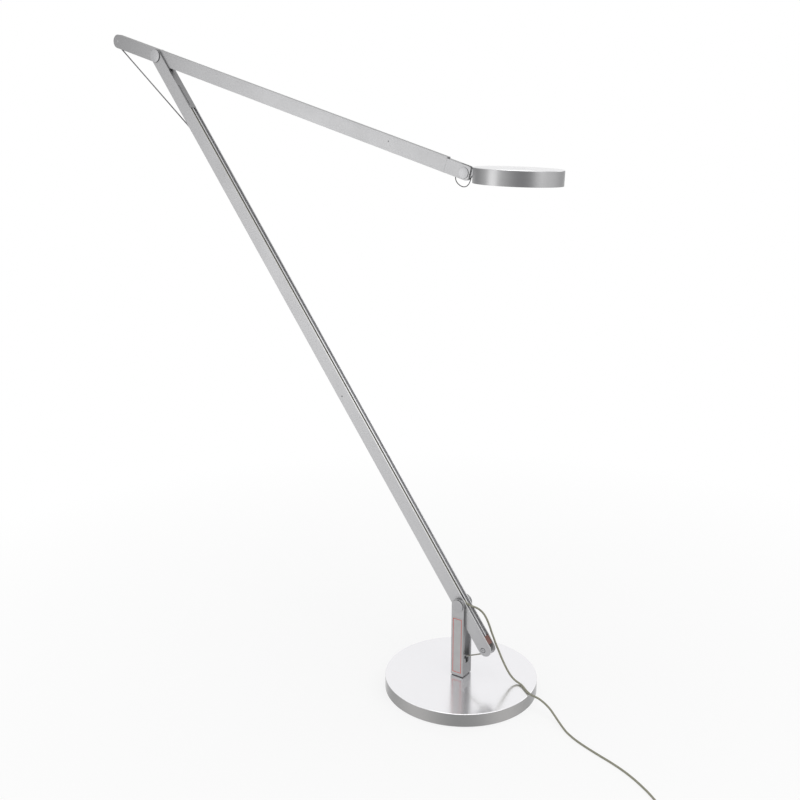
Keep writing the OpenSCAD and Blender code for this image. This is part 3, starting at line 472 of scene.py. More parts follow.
def arm_finish(part):
    """Satin aluminium with its lines along the part, painted light and shade along it, and painted shade on
    its narrow sides.
    """
    name = "lamp_arm_aluminium_" + part
    if name in bpy.data.materials:
        return bpy.data.materials[name]
    place, axis, narrow, painted_light_stops = ARM_PAINTED_LIGHT[part]
    way = place.to_3x3().col[axis]
    turn = (0, math.atan2(way.z, way.x), 0)
    material = brushed_metal(
        name, colours().aluminium, 0.36, 0.75, turn, flow=9.0, pitch=1100.0, depth=0.000004
    )
    tree, face = material.node_tree, material.node_tree.nodes["Principled BSDF"]
    where = node(tree, "ShaderNodeTexCoord").outputs
    foot = place.translation
    reach = use(tree, reach_along(), Vector=where["Object"], Foot=foot, Way=way).outputs[0]
    first, last = painted_light_stops[0][0], painted_light_stops[-1][0]
    # Painted light and shade: the colour is raised and lowered along the part by the shares given for it
    ramp = node(tree, "ShaderNodeValToRGB", {0: ramped(tree, reach, first, last)})
    stops = ramp.color_ramp.elements
    for at, _ in painted_light_stops[1:-1]:
        stops.new((at - first) / (last - first))
    for stop, (_, share) in zip(stops, painted_light_stops):
        stop.color = (share / TOP_SHARE,) * 3 + (1,)
    # Painted shade: the narrow sides are darkened by the part's given share
    broad = use(tree, broad_sides(), Normal=where["Normal"]).outputs[0]
    raised = between(tree, broad, TOP_SHARE * narrow, TOP_SHARE)
    brushed = face.inputs["Base Color"].links[0].from_socket
    light_painted = node(tree, "ShaderNodeVectorMath", {0: brushed}, operation="SCALE")
    tree.links.new(maths(tree, "MULTIPLY", raised, ramp.outputs[0]), light_painted.inputs["Scale"])
    tree.links.new(light_painted.outputs[0], face.inputs["Base Color"])
    return material


# The dark and the light of the painted reflection bands on the rims of the base and the head; both lie below
# the tops' colours as painted shade
BASE_RIM_PAINTED_LIGHT = (0.27, 0.27, 0.27), (0.43, 0.425, 0.42)
HEAD_RIM_PAINTED_LIGHT = (0.20, 0.20, 0.205), (0.45, 0.45, 0.455)

FINISHES = {
    "base_metal": lambda n: turned_metal(
        n, colours().base, 0.165, 0.82, (0, 0, 0), BASE_RIM_PAINTED_LIGHT, 272, depth=0.000005, contrast=0.012
    ),
    "arm_aluminium": lambda n: brushed_metal(n, colours().aluminium, 0.36, 0.75, depth=0.00001),
    "cap_aluminium": capped_metal,
    "head_metal": lambda n: turned_metal(
        n, colours().head, 0.3, 0.9, ON_HEAD @ middle("head_shell", ON_HEAD), HEAD_RIM_PAINTED_LIGHT, 274, HEAD_TIP
    ),
    "plated_steel": lambda n: brushed_metal(n, (0.40, 0.40, 0.41), 0.3, 1.0, flow=400.0, pitch=1400.0),
    "bronze": lambda n: brushed_metal(n, (0.45, 0.27, 0.12), 0.35, 1.0, flow=400.0, pitch=1400.0),
    "black_rubber": lambda n: moulded(n, (0.018, 0.018, 0.019), 0.75, skin=900.0, depth=0.00006),
    "black_plastic": lambda n: moulded(n, (0.022, 0.022, 0.024), 0.45),
    "pale_plastic": lambda n: moulded(n, (0.80, 0.79, 0.77), 0.4),
    "brown_plastic": lambda n: moulded(n, (0.17, 0.075, 0.06), 0.45),
    "cord_sheath": sheathed_cord,
    "string_olive": lambda n: twisted_cord(n, colours().string, 0.45),
    "string_grey": lambda n: twisted_cord(n, (0.21, 0.21, 0.215), 0.4),
    "label_film": blank_label,
    "opal_sheet": opal_glass,
    "white_board": lambda n: moulded(n, (0.78, 0.78, 0.76), 0.4),
    "led_yellow": lambda n: moulded(n, (0.75, 0.55, 0.08), 0.35, skin=4000.0),
}


def finish_of(slot):
    """The material of one slot, made the first time it is asked for."""
    name = "lamp_" + slot
    if name not in bpy.data.materials:
        FINISHES[slot](name)
    return bpy.data.materials[name]


# ---- Modelling by hand ----


def alone(piece):
    """Makes one piece the only selected and the active one."""
    bpy.ops.object.select_all(action="DESELECT")
    piece.select_set(True)
    bpy.context.view_layer.objects.active = piece


def draw(name, corners):
    """An outline drawn from corner to corner by extruding one vertex; it stays in edit mode."""
    bpy.ops.object.select_all(action="DESELECT")
    bpy.ops.mesh.primitive_plane_add(size=0.01)
    piece = bpy.context.object
    piece.name = name
    piece.data.name = name
    bpy.ops.object.mode_set(mode="EDIT")
    bpy.ops.mesh.select_all(action="SELECT")
    bpy.ops.mesh.merge(type="CENTER")
    bpy.ops.transform.translate(value=corners[0])
    for a, b in zip(corners, corners[1:]):
        bpy.ops.mesh.extrude_vertices_move(TRANSFORM_OT_translate={"value": b - a})
    bpy.ops.mesh.select_all(action="SELECT")
    bpy.ops.mesh.remove_doubles(threshold=1e-6)
    return piece


def close(piece):
    """Turns all faces outwards and leaves edit mode."""
    bpy.ops.mesh.select_all(action="SELECT")
    bpy.ops.mesh.normals_make_consistent(inside=False)
    bpy.ops.object.mode_set(mode="OBJECT")
    return piece


def prism(name, corners, travel):
    """A solid with a drawn outline, extruded along one straight travel."""
    piece = draw(name, corners + corners[:1])
    bpy.ops.mesh.edge_face_add()
    bpy.ops.mesh.extrude_region_move(TRANSFORM_OT_translate={"value": travel})
    return close(piece)


def smooth(piece, sharp):
    """Shades a piece smooth, and leaves edges of more than an angle in degrees sharp."""
    alone(piece)
    bpy.ops.object.shade_smooth_by_angle(angle=math.radians(sharp))
    return piece


def slab(name, outline, y0, y1):
    """A prism along Y from an outline of (x, z) points."""
    return prism(name, flat(outline, y0), Vector((0, y1 - y0, 0)))


def lathe(name, outline, steps, sharp=None):
    """A solid of revolution round Z from an outline of (radius, height) points."""
    corners = [Vector((r, 0, z)) for r, z in outline]
    if outline[0][0] > 0:
        corners = corners + corners[:1]
    piece = draw(name, corners)
    bpy.ops.mesh.spin(steps=steps, angle=math.tau, center=(0, 0, 0), axis=(0, 0, 1))
    bpy.ops.mesh.select_all(action="SELECT")
    bpy.ops.mesh.remove_doubles(threshold=1e-6)
    return smooth(close(piece), sharp) if sharp else close(piece)


def arc(mid, radius, start, end, steps=8):
    """Points of an arc round (x, y), from one angle in degrees to another."""
    turns = [math.radians(start + (end - start) * i / steps) for i in range(steps + 1)]
    return [(mid[0] + radius * math.cos(a), mid[1] + radius * math.sin(a)) for a in turns]


def flat(points, y):
    """Points (x, z) of an outline in a plane across Y."""
    return [Vector((x, y, z)) for x, z in points]


def block(lo, hi):
    """A cutting block from corner to corner."""
    bpy.ops.object.select_all(action="DESELECT")
    lo, hi = Vector(lo), Vector(hi)
    bpy.ops.mesh.primitive_cube_add(size=1, location=(lo + hi) / 2, scale=hi - lo)
    return bpy.context.object


def rod(a, b, radius, vertices=48):
    """A round cutting rod between two points."""
    bpy.ops.object.select_all(action="DESELECT")
    a, b = Vector(a), Vector(b)
    turn = (b - a).to_track_quat("Z", "Y").to_euler()
    bpy.ops.mesh.primitive_cylinder_add(
        vertices=vertices, radius=radius, depth=(b - a).length, location=(a + b) / 2, rotation=turn
    )
    return bpy.context.object


def across(x, z, radius, y0, y1, vertices=48):
    """A round rod along Y."""
    return rod((x, y0, z), (x, y1, z), radius, vertices)


def bore(x, z, radius, reach=0.02):
    """A round rod along Y, right through a part."""
    return across(x, z, radius, -reach, reach)


def carve(piece, *tools, way="DIFFERENCE"):
    """Cuts the tools out of the piece, or joins them to it, one after another."""
    for tool in tools:
        alone(piece)
        step = piece.modifiers.new("carve", "BOOLEAN")
        step.operation = way
        step.solver = "EXACT"
        step.object = tool
        bpy.ops.object.modifier_apply(modifier=step.name)
        bpy.data.objects.remove(tool)
    return piece


def soften(piece, width=None, segments=2, angle=30):
    """Rounds the sharp edges a little and shades the faces flat between them."""
    alone(piece)
    bpy.ops.object.transform_apply(location=True, rotation=True, scale=True)
    bevel = piece.modifiers.new("edges", "BEVEL")
    bevel.width = width or sizes().edge_round
    bevel.segments = segments
    bevel.limit_method = "ANGLE"
    bevel.angle_limit = math.radians(angle)
    bpy.ops.object.modifier_apply(modifier=bevel.name)
    bpy.ops.object.shade_smooth_by_angle(angle=math.radians(40))
    weights = piece.modifiers.new("even shading", "WEIGHTED_NORMAL")
    weights.keep_sharp = True
    bpy.ops.object.modifier_apply(modifier=weights.name)
    return piece


def settle(piece, place, body, slot, *nodes, finish=None):
    """Moves a finished piece to its place in its mesh, gives it its finish and lets it ride on its body."""
    piece.matrix_world = place @ piece.matrix_world
    alone(piece)
    bpy.ops.object.transform_apply(location=True, rotation=True, scale=True)
    piece.data.materials.clear()
    piece.data.materials.append(finish or finish_of(slot))
    if nodes:
        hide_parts(*nodes)
    if body:
        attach(piece, body)
    return piece


def lying(at, axis, sign=1):
    """The place of a turned piece that is laid over by a quarter turn about an axis."""
    return Matrix.Translation(at) @ Matrix.Rotation(sign * math.pi / 2, 4, axis)


def again(piece, name, travel):
    """A copy of a piece with its own mesh, moved along."""
    copy = piece.copy()
    copy.data = piece.data.copy()
    copy.name = name
    copy.data.name = name
    copy.matrix_world = Matrix.Translation(travel) @ piece.matrix_world
    bpy.context.collection.objects.link(copy)
    return copy


# ---- Cords: routes in metres, the same points as the solids have ----


def laid(points, steps):
    """A route with its end spans straight and the rest one smooth curve."""
    inner = points[1:-1]
    ahead = [2 * inner[0] - inner[1]] + inner + [2 * inner[-1] - inner[-2]]
    curve = []
    for a, b, c, d in zip(ahead, ahead[1:], ahead[2:], ahead[3:]):
        for i in range(steps):
            t = i / steps
            bend, twist = 2 * a - 5 * b + 4 * c - d, 3 * b - a - 3 * c + d
            curve.append(0.5 * (2 * b + (c - a) * t + bend * t * t + twist * t**3))
    return [points[0]] + curve + [inner[-1], points[-1]]


def straight(a, b, steps):
    """Points from one place to another in even steps."""
    return [a + (b - a) * i / steps for i in range(steps + 1)]


def tube(name, points, diameter, sides=None):
    """A closed round tube along points, with metres along and turns round as its UV map."""
    sides = sides or sizes().cord_sides
    mesh = bmesh.new()
    uv = mesh.loops.layers.uv.new("along")
    up = Vector((0, 0, 1))
    rings, reach, gone = [], [], 0.0
    for i, point in enumerate(points):
        before, after = points[max(i - 1, 0)], points[min(i + 1, len(points) - 1)]
        way = (after - before).normalized()
        side = way.cross(up)
        if side.length < 0.1:
            side = way.cross(Vector((1, 0, 0)))
        side.normalize()
        up = side.cross(way).normalized()
        turns = [math.tau * k / sides for k in range(sides)]
        spokes = [diameter / 2 * (math.cos(a) * side + math.sin(a) * up) for a in turns]
        rings.append([mesh.verts.new(point + spoke) for spoke in spokes])
        gone += (point - before).length
        reach.append(gone)
    for i in range(len(rings) - 1):
        for k in range(sides):
            n = (k + 1) % sides
            face = mesh.faces.new((rings[i][k], rings[i][n], rings[i + 1][n], rings[i + 1][k]))
            face.smooth = True
            spots = ((i, k), (i, k + 1), (i + 1, k + 1), (i + 1, k))
            for loop, (j, turn) in zip(face.loops, spots):
                loop[uv].uv = (reach[j], turn / sides)
    mesh.faces.new(list(reversed(rings[0])))
    mesh.faces.new(rings[-1])
    bmesh.ops.recalc_face_normals(mesh, faces=mesh.faces)
    data = bpy.data.meshes.new(name)
    mesh.to_mesh(data)
    mesh.free()
    piece = bpy.data.objects.new(name, data)
    bpy.context.collection.objects.link(piece)
    return piece


def strung(name, path, diameter, slot, *nodes, body=None, sides=None):
    """A finished tube along a path in the lamp's frame, riding on a body when one is given."""
    return settle(tube(name, path, diameter, sides), ON_FLOOR, body, slot, *nodes)


def points_of(place, *triples):
    return [place @ Vector(t) for t in triples]


# The power cord's place in the lower arm's channel, in the arm's frame
CHANNEL_CORD = Vector((0.0091, -0.0039, 0.014))
CORD_D = 0.0036
WIRE_D = 0.0014
LEAD_D = 0.0024
STRING_D = 2 * span("lower_inner_string", ON_LOWER)[1].y
UPPER_AT_HINGE = ON_UPPER @ Matrix.Translation((UPPER_LEN, 0, 0))

lead_route = points_of(
    ON_LOWER, (0.0091, -0.0039, 0.014), (0.0091, -0.0039, 0.009), (0.0093, -0.0039, 0.004),
    (0.0114, -0.0037, -0.002), (0.0142, -0.002, -0.0085), (0.0164, 0.002, -0.014), (0.0178, 0.0064, -0.0186),
) + points_of(ON_FLOOR, (0.0286, 0.0103, 0.1532), (0.031, 0.0115, 0.151))
drop_route = points_of(
    ON_FLOOR,
    (0.031, 0.0115, 0.151), (0.0334, 0.0127, 0.1488), (0.0384, 0.0134, 0.1436), (0.044, 0.0134, 0.1356),
    (0.049, 0.0132, 0.126), (0.0535, 0.0132, 0.115), (0.058, 0.0135, 0.105), (0.062, 0.014, 0.095),
    (0.067, 0.015, 0.084), (0.072, 0.0163, 0.072), (0.077, 0.018, 0.0605), (0.0825, 0.02, 0.049),
    (0.088, 0.0225, 0.039), (0.0945, 0.0245, 0.0316), (0.102, 0.025, 0.028), (0.11, 0.0225, 0.0272),
    (0.118, 0.017, 0.0271), (0.126, 0.0106, 0.0271), (0.134, 0.0056, 0.0271), (0.1434, 0.0021, 0.0271),
    (0.147, 0.0016, 0.0271),
)
floor_route = points_of(
    ON_FLOOR,
    (0.147, 0.0016, 0.0271), (0.1506, 0.0011, 0.0271), (0.156, 0.0006, 0.0263), (0.163, 0, 0.024),
    (0.171, -0.001, 0.0206), (0.18, -0.0034, 0.0162), (0.19, -0.0084, 0.0116), (0.2, -0.0142, 0.0076),
    (0.211, -0.021, 0.0042), (0.221, -0.0276, 0.0025), (0.232, -0.034, 0.0021), (0.243, -0.0396, 0.0021),
    (0.255, -0.0446, 0.0021), (0.272, -0.0506, 0.0021), (0.292, -0.057, 0.0021), (0.314, -0.0636, 0.0021),
    (0.336, -0.0714, 0.0021), (0.357, -0.081, 0.0021), (0.377, -0.0924, 0.0021), (0.396, -0.105, 0.0021),
    (0.414, -0.1196, 0.0021), (0.43, -0.1356, 0.0021), (0.443, -0.1514, 0.0021), (0.452, -0.1634, 0.0021),
    (0.4554, -0.168, 0.0021),
)
tail_run = [
    (0.0022, -0.0029, 0), (0.007, -0.0084, 0), (0.013, -0.013, 0), (0.0204, -0.016, 0), (0.028, -0.0172, 0),
    (0.0356, -0.0172, 0), (0.066, -0.0172, 0),
]
wire_route = points_of(
    UPPER_AT_HINGE,
    (-0.015, 0, -0.012), (-0.015, 0, -0.014), (-0.0126, -0.0004, -0.018), (-0.008, -0.001, -0.0212),
    (-0.002, -0.0018, -0.023), (0.0045, -0.0026, -0.023), (0.0102, -0.0035, -0.0204),
    (0.014, -0.0043, -0.0154), (0.0156, -0.0049, -0.009), (0.0162, -0.0053, -0.003),
) + points_of(ON_HEAD, (0.0206, -0.0054, 0), (0.024, -0.0054, 0.002), (0.0262, -0.0054, 0.002))
FORK_FOOT = ON_LOWER @ Matrix.Translation((0, 0, span("lower_profile", ON_LOWER)[1].z))
elbow_route = points_of(
    FORK_FOOT, (0.0089, -0.0039, 0.0006), (0.00745, -0.0039, 0.0046), (0.0039, -0.0038, 0.0144),
    (0.0012, -0.0034, 0.028), (0.0006, -0.0028, 0.044), (0.0006, -0.0016, 0.062), (0.0006, -0.0006, 0.082),
) + points_of(ON_UPPER, (0.026, 0, -0.017), (0.026, 0, -0.011))

# The stored length: layers of loops that spiral in and out in turn
COIL_DIR = Vector((0.6, -0.8, 0))
COIL_MID_R = 0.0216
COIL_PITCH = CORD_D + 0.0005
COIL_LAYERS = 4
COIL_LOOPS = 2.5
COIL_STEPS = 48
COIL_STUB = 0.0036
COIL_OUT_R = COIL_MID_R + COIL_LOOPS * COIL_PITCH / 2
COIL_HEADING = math.atan2(COIL_DIR.y, COIL_DIR.x) - math.pi / 2


def ease(t):
    """A smooth step from 0 to 1."""
    t = min(max(t, 0), 1)
    return t * t * (3 - 2 * t)


def coil_point(t):
    """The place on the coil after t turns."""
    layer = min(int(t / COIL_LOOPS), COIL_LAYERS - 1)
    gone = t - layer * COIL_LOOPS
    inwards = gone if layer % 2 == 0 else COIL_LOOPS - gone
    radius = COIL_OUT_R - inwards * COIL_PITCH
    up = sum(ease((t - k * COIL_LOOPS + 0.25) / 0.5) for k in range(1, COIL_LAYERS))
    angle = COIL_HEADING + math.tau * t
    start = floor_route[-1]
    heading = Vector((math.cos(COIL_HEADING), math.sin(COIL_HEADING), 0))
    centre = start + COIL_STUB * COIL_DIR - COIL_OUT_R * heading
    return centre + Vector((radius * math.cos(angle), radius * math.sin(angle), COIL_PITCH * up))


def stored_length():
    """The coil's path and the short tail to the adapter."""
    turns = int(COIL_LAYERS * COIL_LOOPS * COIL_STEPS)
    loops = [coil_point(i / COIL_STEPS) for i in range(turns + 1)]
    start = loops[-1] + COIL_STUB * COIL_DIR
    return loops, [start] + [start + Vector(q) for q in tail_run]


class LAMP_OT_power_cord(bpy.types.Operator):
    """Lay the power cord: out of the arm, over the base, along the floor and into its coil"""

    bl_idname = "lamp.power_cord"
    bl_label = "Power Cord"

    def execute(self, context):
        lead_path = laid(lead_route, 6)
        lead = strung("power_cord_lead", lead_path, CORD_D, "cord_sheath", "cord_lead")
        loops, tail = stored_length()
        path = laid(drop_route, 5) + laid(floor_route, 4)[1:] + loops + laid(tail, 4)
        nodes = "cord_drop", "cord_floor", "cord_coil", "cord_tail"
        cord = strung("power_cord", path, CORD_D, "cord_sheath", *nodes)
        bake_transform(lead)
        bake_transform(cord)
        return {"FINISHED"}


# ---- Studio ----

CAMERA_AT = Vector((0.8352, -1.3810, 0.9438))
CAMERA_YAW = math.radians(35.026)
CAMERA_PITCH = math.radians(-14.451)


def soft_light(name, place, target, size, power):
    """A square soft box that points at a target."""
    bpy.ops.object.light_add(type="AREA", location=place)
    light = bpy.context.object
    light.name = name
    light.rotation_euler = (Vector(target) - Vector(place)).to_track_quat("-Z", "Y").to_euler()
    light.data.shape = "SQUARE"
    light.data.size = size
    light.data.energy = power


def seen_directly(tree):
    """1 for camera, glossy and transmission rays, which see the backdrop plain white."""
    rays = node(tree, "ShaderNodeLightPath")
    both = maths(tree, "MAXIMUM", rays.outputs["Is Camera Ray"], rays.outputs["Is Glossy Ray"])
    return maths(tree, "MAXIMUM", both, rays.outputs["Is Transmission Ray"])


class LAMP_OT_studio(bpy.types.Operator):
    """Set the camera, the pale floor, the white backdrop and the soft lights"""

    bl_idname = "lamp.studio"
    bl_label = "Studio"

    def execute(self, context):
        scene = context.scene
        bpy.ops.object.camera_add(location=CAMERA_AT, rotation=(math.pi / 2 + CAMERA_PITCH, 0, CAMERA_YAW))
        camera = context.object
        camera.name = "camera"
        camera.data.lens = 45
        camera.data.sensor_width = 36
        scene.camera = camera
        scene.view_settings.view_transform = "Standard"
        self.backdrop(scene)
        self.floor()
        soft_light("overhead_box", (0.3, -0.5, 2.9), (-0.1, 0, 0.3), 2.2, 28)
        soft_light("left_box", (-2.0, -2.6, 0.6), (-0.3, 0, 0.6), 1.6, 8)
        soft_light("right_box", (2.4, -0.4, 1.4), (0, 0, 0.6), 1.2, 8)
        soft_light("back_box", (0.9, 2.4, 1.9), (-0.2, 0, 0.6), 1.1, 5)
        return {"FINISHED"}

    def backdrop(self, scene):
        world = scene.world or bpy.data.worlds.new("backdrop")
        scene.world = world
        world.use_nodes = True
        tree = world.node_tree
        seen = seen_directly(tree)
        strength = maths(tree, "MULTIPLY_ADD", seen, 0.5, 0.5)
        light = tree.nodes["Background"]
        light.inputs["Color"].default_value = (1, 1, 1, 1)
        tree.links.new(strength, light.inputs["Strength"])

    def floor(self):
        bpy.ops.object.select_all(action="DESELECT")
        bpy.ops.mesh.primitive_circle_add(vertices=128, radius=9, fill_type="NGON")
        floor = bpy.context.object
        floor.name = "floor"
        material, tree, face = blank("pale_floor")
        face.inputs["Base Color"].default_value = (0.9, 0.9, 0.9, 1)
        face.inputs["Roughness"].default_value = 0.9
        glow = node(tree, "ShaderNodeEmission", {"Color": (1, 1, 1, 1), "Strength": 1.0})
        away = vectors(tree, "LENGTH", coordinate(tree)).outputs["Value"]
        share = maths(tree, "MULTIPLY", ramped(tree, away, 0.2, 1.4, 0.78), seen_directly(tree))
        mix = node(tree, "ShaderNodeMixShader", {0: share, 1: face.outputs[0], 2: glow.outputs[0]})
        tree.links.new(mix.outputs[0], tree.nodes["Material Output"].inputs["Surface"])
        floor.data.materials.append(material)


# ---- Base and post ----


class LAMP_OT_base(bpy.types.Operator):
    """Turn the base disc with its rounded rim and the ribbed rubber pad under it"""

    bl_idname = "lamp.base"
    bl_label = "Base"

    rim_round: metres("Rim round", "Radius of the disc's top edge", 0.0012)
    foot_chamfer: metres("Foot chamfer", "Chamfer of the disc's lower edge", 0.0006)

    def execute(self, context):
        lo, hi = span("base_disc")
        hole = span("swivel_bush")[1].x
        well = 0.0135
        well_top = span("swivel_bush")[0].z
        r, c = self.rim_round, self.foot_chamfer
        outline = [(hole, well_top), (hole, hi.z)]
        outline += arc((hi.x - r, hi.z - r), r, 90, 0, 6)
        outline += [(hi.x, lo.z + c), (hi.x - c, lo.z), (well, lo.z), (well, well_top)]
        disc = lathe("base_plate", outline, 256)
        soften(disc, 0.0002, angle=50)
        settle(disc, ON_FLOOR, "base", "base_metal", "base_disc")
        self.pad()
        return {"FINISHED"}

    def pad(self):
        lo, hi = span("base_pad")
        groove, pitch, depth = 0.0015, 0.006, 0.0006
        outline = [(0, hi.z), (hi.x, hi.z), (hi.x, lo.z + depth), (hi.x - depth, lo.z)]
        r = hi.x - 2 * pitch
        while r > 2 * pitch:
            outline += [(r + groove, lo.z), (r + groove / 2, lo.z + depth)]
            outline += [(r - groove / 2, lo.z + depth), (r - groove, lo.z)]
            r -= 4 * pitch
        outline += [(0, lo.z)]
        pad = lathe("rubber_pad", outline, 160, 30)
        settle(pad, ON_FLOOR, "base", "black_rubber", "base_pad")


class LAMP_OT_post(bpy.types.Operator):
    """Mill the forked post and lay the blank label on its front"""

    bl_idname = "lamp.post"
    bl_label = "Post"

    def execute(self, context):
        lo, hi = span("post_fork")
        ear = hi.x
        axis = SHOULDER.z
        outline = [(-ear, lo.z), (ear, lo.z)] + arc((0, axis), ear, 0, 180, 28)
        post = slab("post_body", outline, hi.y, lo.y)
        ear_t, slot_depth, notch_y, notch_under = 0.005, 0.101, 0.0045, 0.003
        slot_y = hi.y - ear_t
        floor_z = axis - slot_depth
        anchor = span("anchor_pin")
        anchor_z = (anchor[0].z + anchor[1].z) / 2
        pin_r = (anchor[1].z - anchor[0].z) / 2
        notch_z = anchor_z - 2 * pin_r - notch_under
        carve(
            post,
            block((-0.03, -slot_y, floor_z), (0.03, slot_y, 0.2)),
            block((-2 * pin_r, -notch_y, notch_z), (0.03, notch_y, floor_z + 0.001)),
            across(0, anchor_z, pin_r, 0.002 - hi.y, 0.03),
            bore(0, axis, span("shoulder_axle")[1].x, 0.03),
        )
        soften(post)
        settle(post, ON_FLOOR, "post", "arm_aluminium", "post_fork", finish=arm_finish("post"))
        self.label()
        return {"FINISHED"}

    def label(self):
        lo, hi = span("rating_label")
        r = 0.0012
        corners = arc((hi.x - r, hi.z - r), r, 0, 90, 5) + arc((lo.x + r, hi.z - r), r, 90, 180, 5)
        corners += arc((lo.x + r, lo.z + r), r, 180, 270, 5) + arc((hi.x - r, lo.z + r), r, 270, 360, 5)
        film = slab("blank_label", corners, hi.y, lo.y)
        soften(film, 0.00008, 1)
        settle(film, ON_FLOOR, "post", "label_film", "rating_label")


class LAMP_OT_caps(bpy.types.Operator):
    """Turn the round caps over the ends of the axles"""

    bl_idname = "lamp.caps"
    bl_label = "Axle Caps"

    edge: metres("Edge", "Round of the caps' rims", 0.0005)

    def execute(self, context):
        self.pair("shoulder_caps", "shoulder_cap", ON_FLOOR, "post", SHOULDER)
        self.pair("elbow_caps", "elbow_cap", ON_LOWER, "lower_arm", ON_LOWER.inverted() @ ELBOW)
        self.pair("hinge_caps", "hinge_cap", ON_UPPER, "upper_arm", ON_UPPER.inverted() @ HINGE)
        return {"FINISHED"}

    def pair(self, node_name, name, place, body, at):
        lo, hi = span(node_name, place)
        radius = (hi.z - lo.z) / 2
        inner = self.inner_face(node_name, place)
        thick = hi.y - inner
        e = min(self.edge, 0.4 * thick)
        foot = radius - 0.0006
        outline = [(0, 0), (foot, 0), (foot, 0.25 * thick), (radius, 0.3 * thick)]
        outline += arc((radius - e, thick - e), e, 0, 90, 5) + [(0, thick)]
        front = lathe(name + "_front", outline, 64, 35)
        back = again(front, name + "_back", Vector())
        front.matrix_world = lying((at.x, -inner, at.z), "X")
        back.matrix_world = lying((at.x, inner, at.z), "X", -1)
        for cap in (front, back):
            settle(cap, place, body, "cap_aluminium", node_name)

    def inner_face(self, node_name, place):
        """The caps' inner faces lie at plus and minus this Y."""
        back = place.inverted()
        return min(abs((back @ v.co).y) for v in frame["nodes"][node_name].data.vertices)


# ---- Lower arm ----


class LAMP_OT_lower_arm(bpy.types.Operator):
    """Extrude the lower arm's profile with its cable channel, and shape its forked tail"""

    bl_idname = "lamp.lower_arm"
    bl_label = "Lower Arm"

    def execute(self, context):
        lo, hi = span("lower_profile", ON_LOWER)
        wall, rib, web_out, web_in, recess = 0.002, 0.0013, 0.0071, 0.0059, 0.0008
        chamber = hi.y - wall
        half = [
            (hi.x, hi.y), (hi.x, chamber), (web_out, chamber), (web_out, rib), (hi.x - recess, rib),
        ]
        right = half + [(x, -y) for x, y in reversed(half)]
        outline = right + [(lo.x, lo.y), (lo.x, hi.y)]
        corners = [Vector((x, y, lo.z)) for x, y in outline]
        profile = prism("lower_arm_profile", corners, Vector((0, 0, hi.z - lo.z)))
        tail = lo.z + hi.x
        mid = middle("lower_roller", ON_LOWER)
        ends = [(-0.02, tail), (-0.02, lo.z - 0.01), (0.02, lo.z - 0.01), (0.02, tail)]
        ends += arc((0, tail), hi.x, 0, -180, 24)
        round_end = slab("tail_cutter", ends, -0.02, 0.02)
        pin_head = 0.0047
        eye = span("string_eye", ON_LOWER)
        eye_z = (eye[0].z + eye[1].z) / 2
        carve(
            profile,
            block((lo.x + wall, -chamber, lo.z - 0.01), (web_in, chamber, hi.z + 0.01)),
            block((-0.03, -chamber, lo.z - 0.01), (0.03, chamber, span("channel_stop", ON_LOWER)[1].z)),
            round_end,
            bore(0, 0, span("shoulder_bushes", ON_LOWER)[1].z - 0.002),
            bore(mid.x, mid.z, 0.002),
            across(mid.x, mid.z, pin_head, -0.02, 0.001 - hi.y),
            across(mid.x, mid.z, pin_head, hi.y - 0.001, 0.02),
            rod((lo.x - 0.001, 0, eye_z), (lo.x + 0.003, 0, eye_z), 0.0025),
        )
        soften(profile, 0.00035)
        settle(profile, ON_LOWER, "lower_arm", "arm_aluminium", "lower_profile", finish=arm_finish("lower"))
        self.stop_and_grommet(chamber, web_out)
        return {"FINISHED"}

    def stop_and_grommet(self, chamber, web_out):
        lo, hi = span("channel_stop", ON_LOWER)
        roller = span("lower_roller", ON_LOWER)
        mid, clear = (roller[0] + roller[1]) / 2, (roller[1].z - roller[0].z) / 2 + 0.0005
        stop = block(lo, hi)
        stop.name = "channel_stop_block"
        carve(stop, bore(mid.x, mid.z, clear))
        soften(stop, 0.0006)
        settle(stop, ON_LOWER, "lower_arm", "brown_plastic", "channel_stop")
        lo, hi = span("cord_grommet", ON_LOWER)
        groove, hold = -0.0039, CORD_D / 2 + 0.00025
        clip = block(lo, hi)
        clip.name = "cord_clip"
        cord_x = CHANNEL_CORD.x
        carve(
            clip,
            rod((cord_x, groove, lo.z - 0.001), (cord_x, groove, hi.z + 0.001), hold),
            block((lo.x - 0.001, groove - hold, lo.z - 0.001), (cord_x, groove + hold, hi.z + 0.001)),
        )
        soften(clip, 0.0002)
        settle(clip, ON_LOWER, "lower_arm", "black_rubber", "cord_grommet")


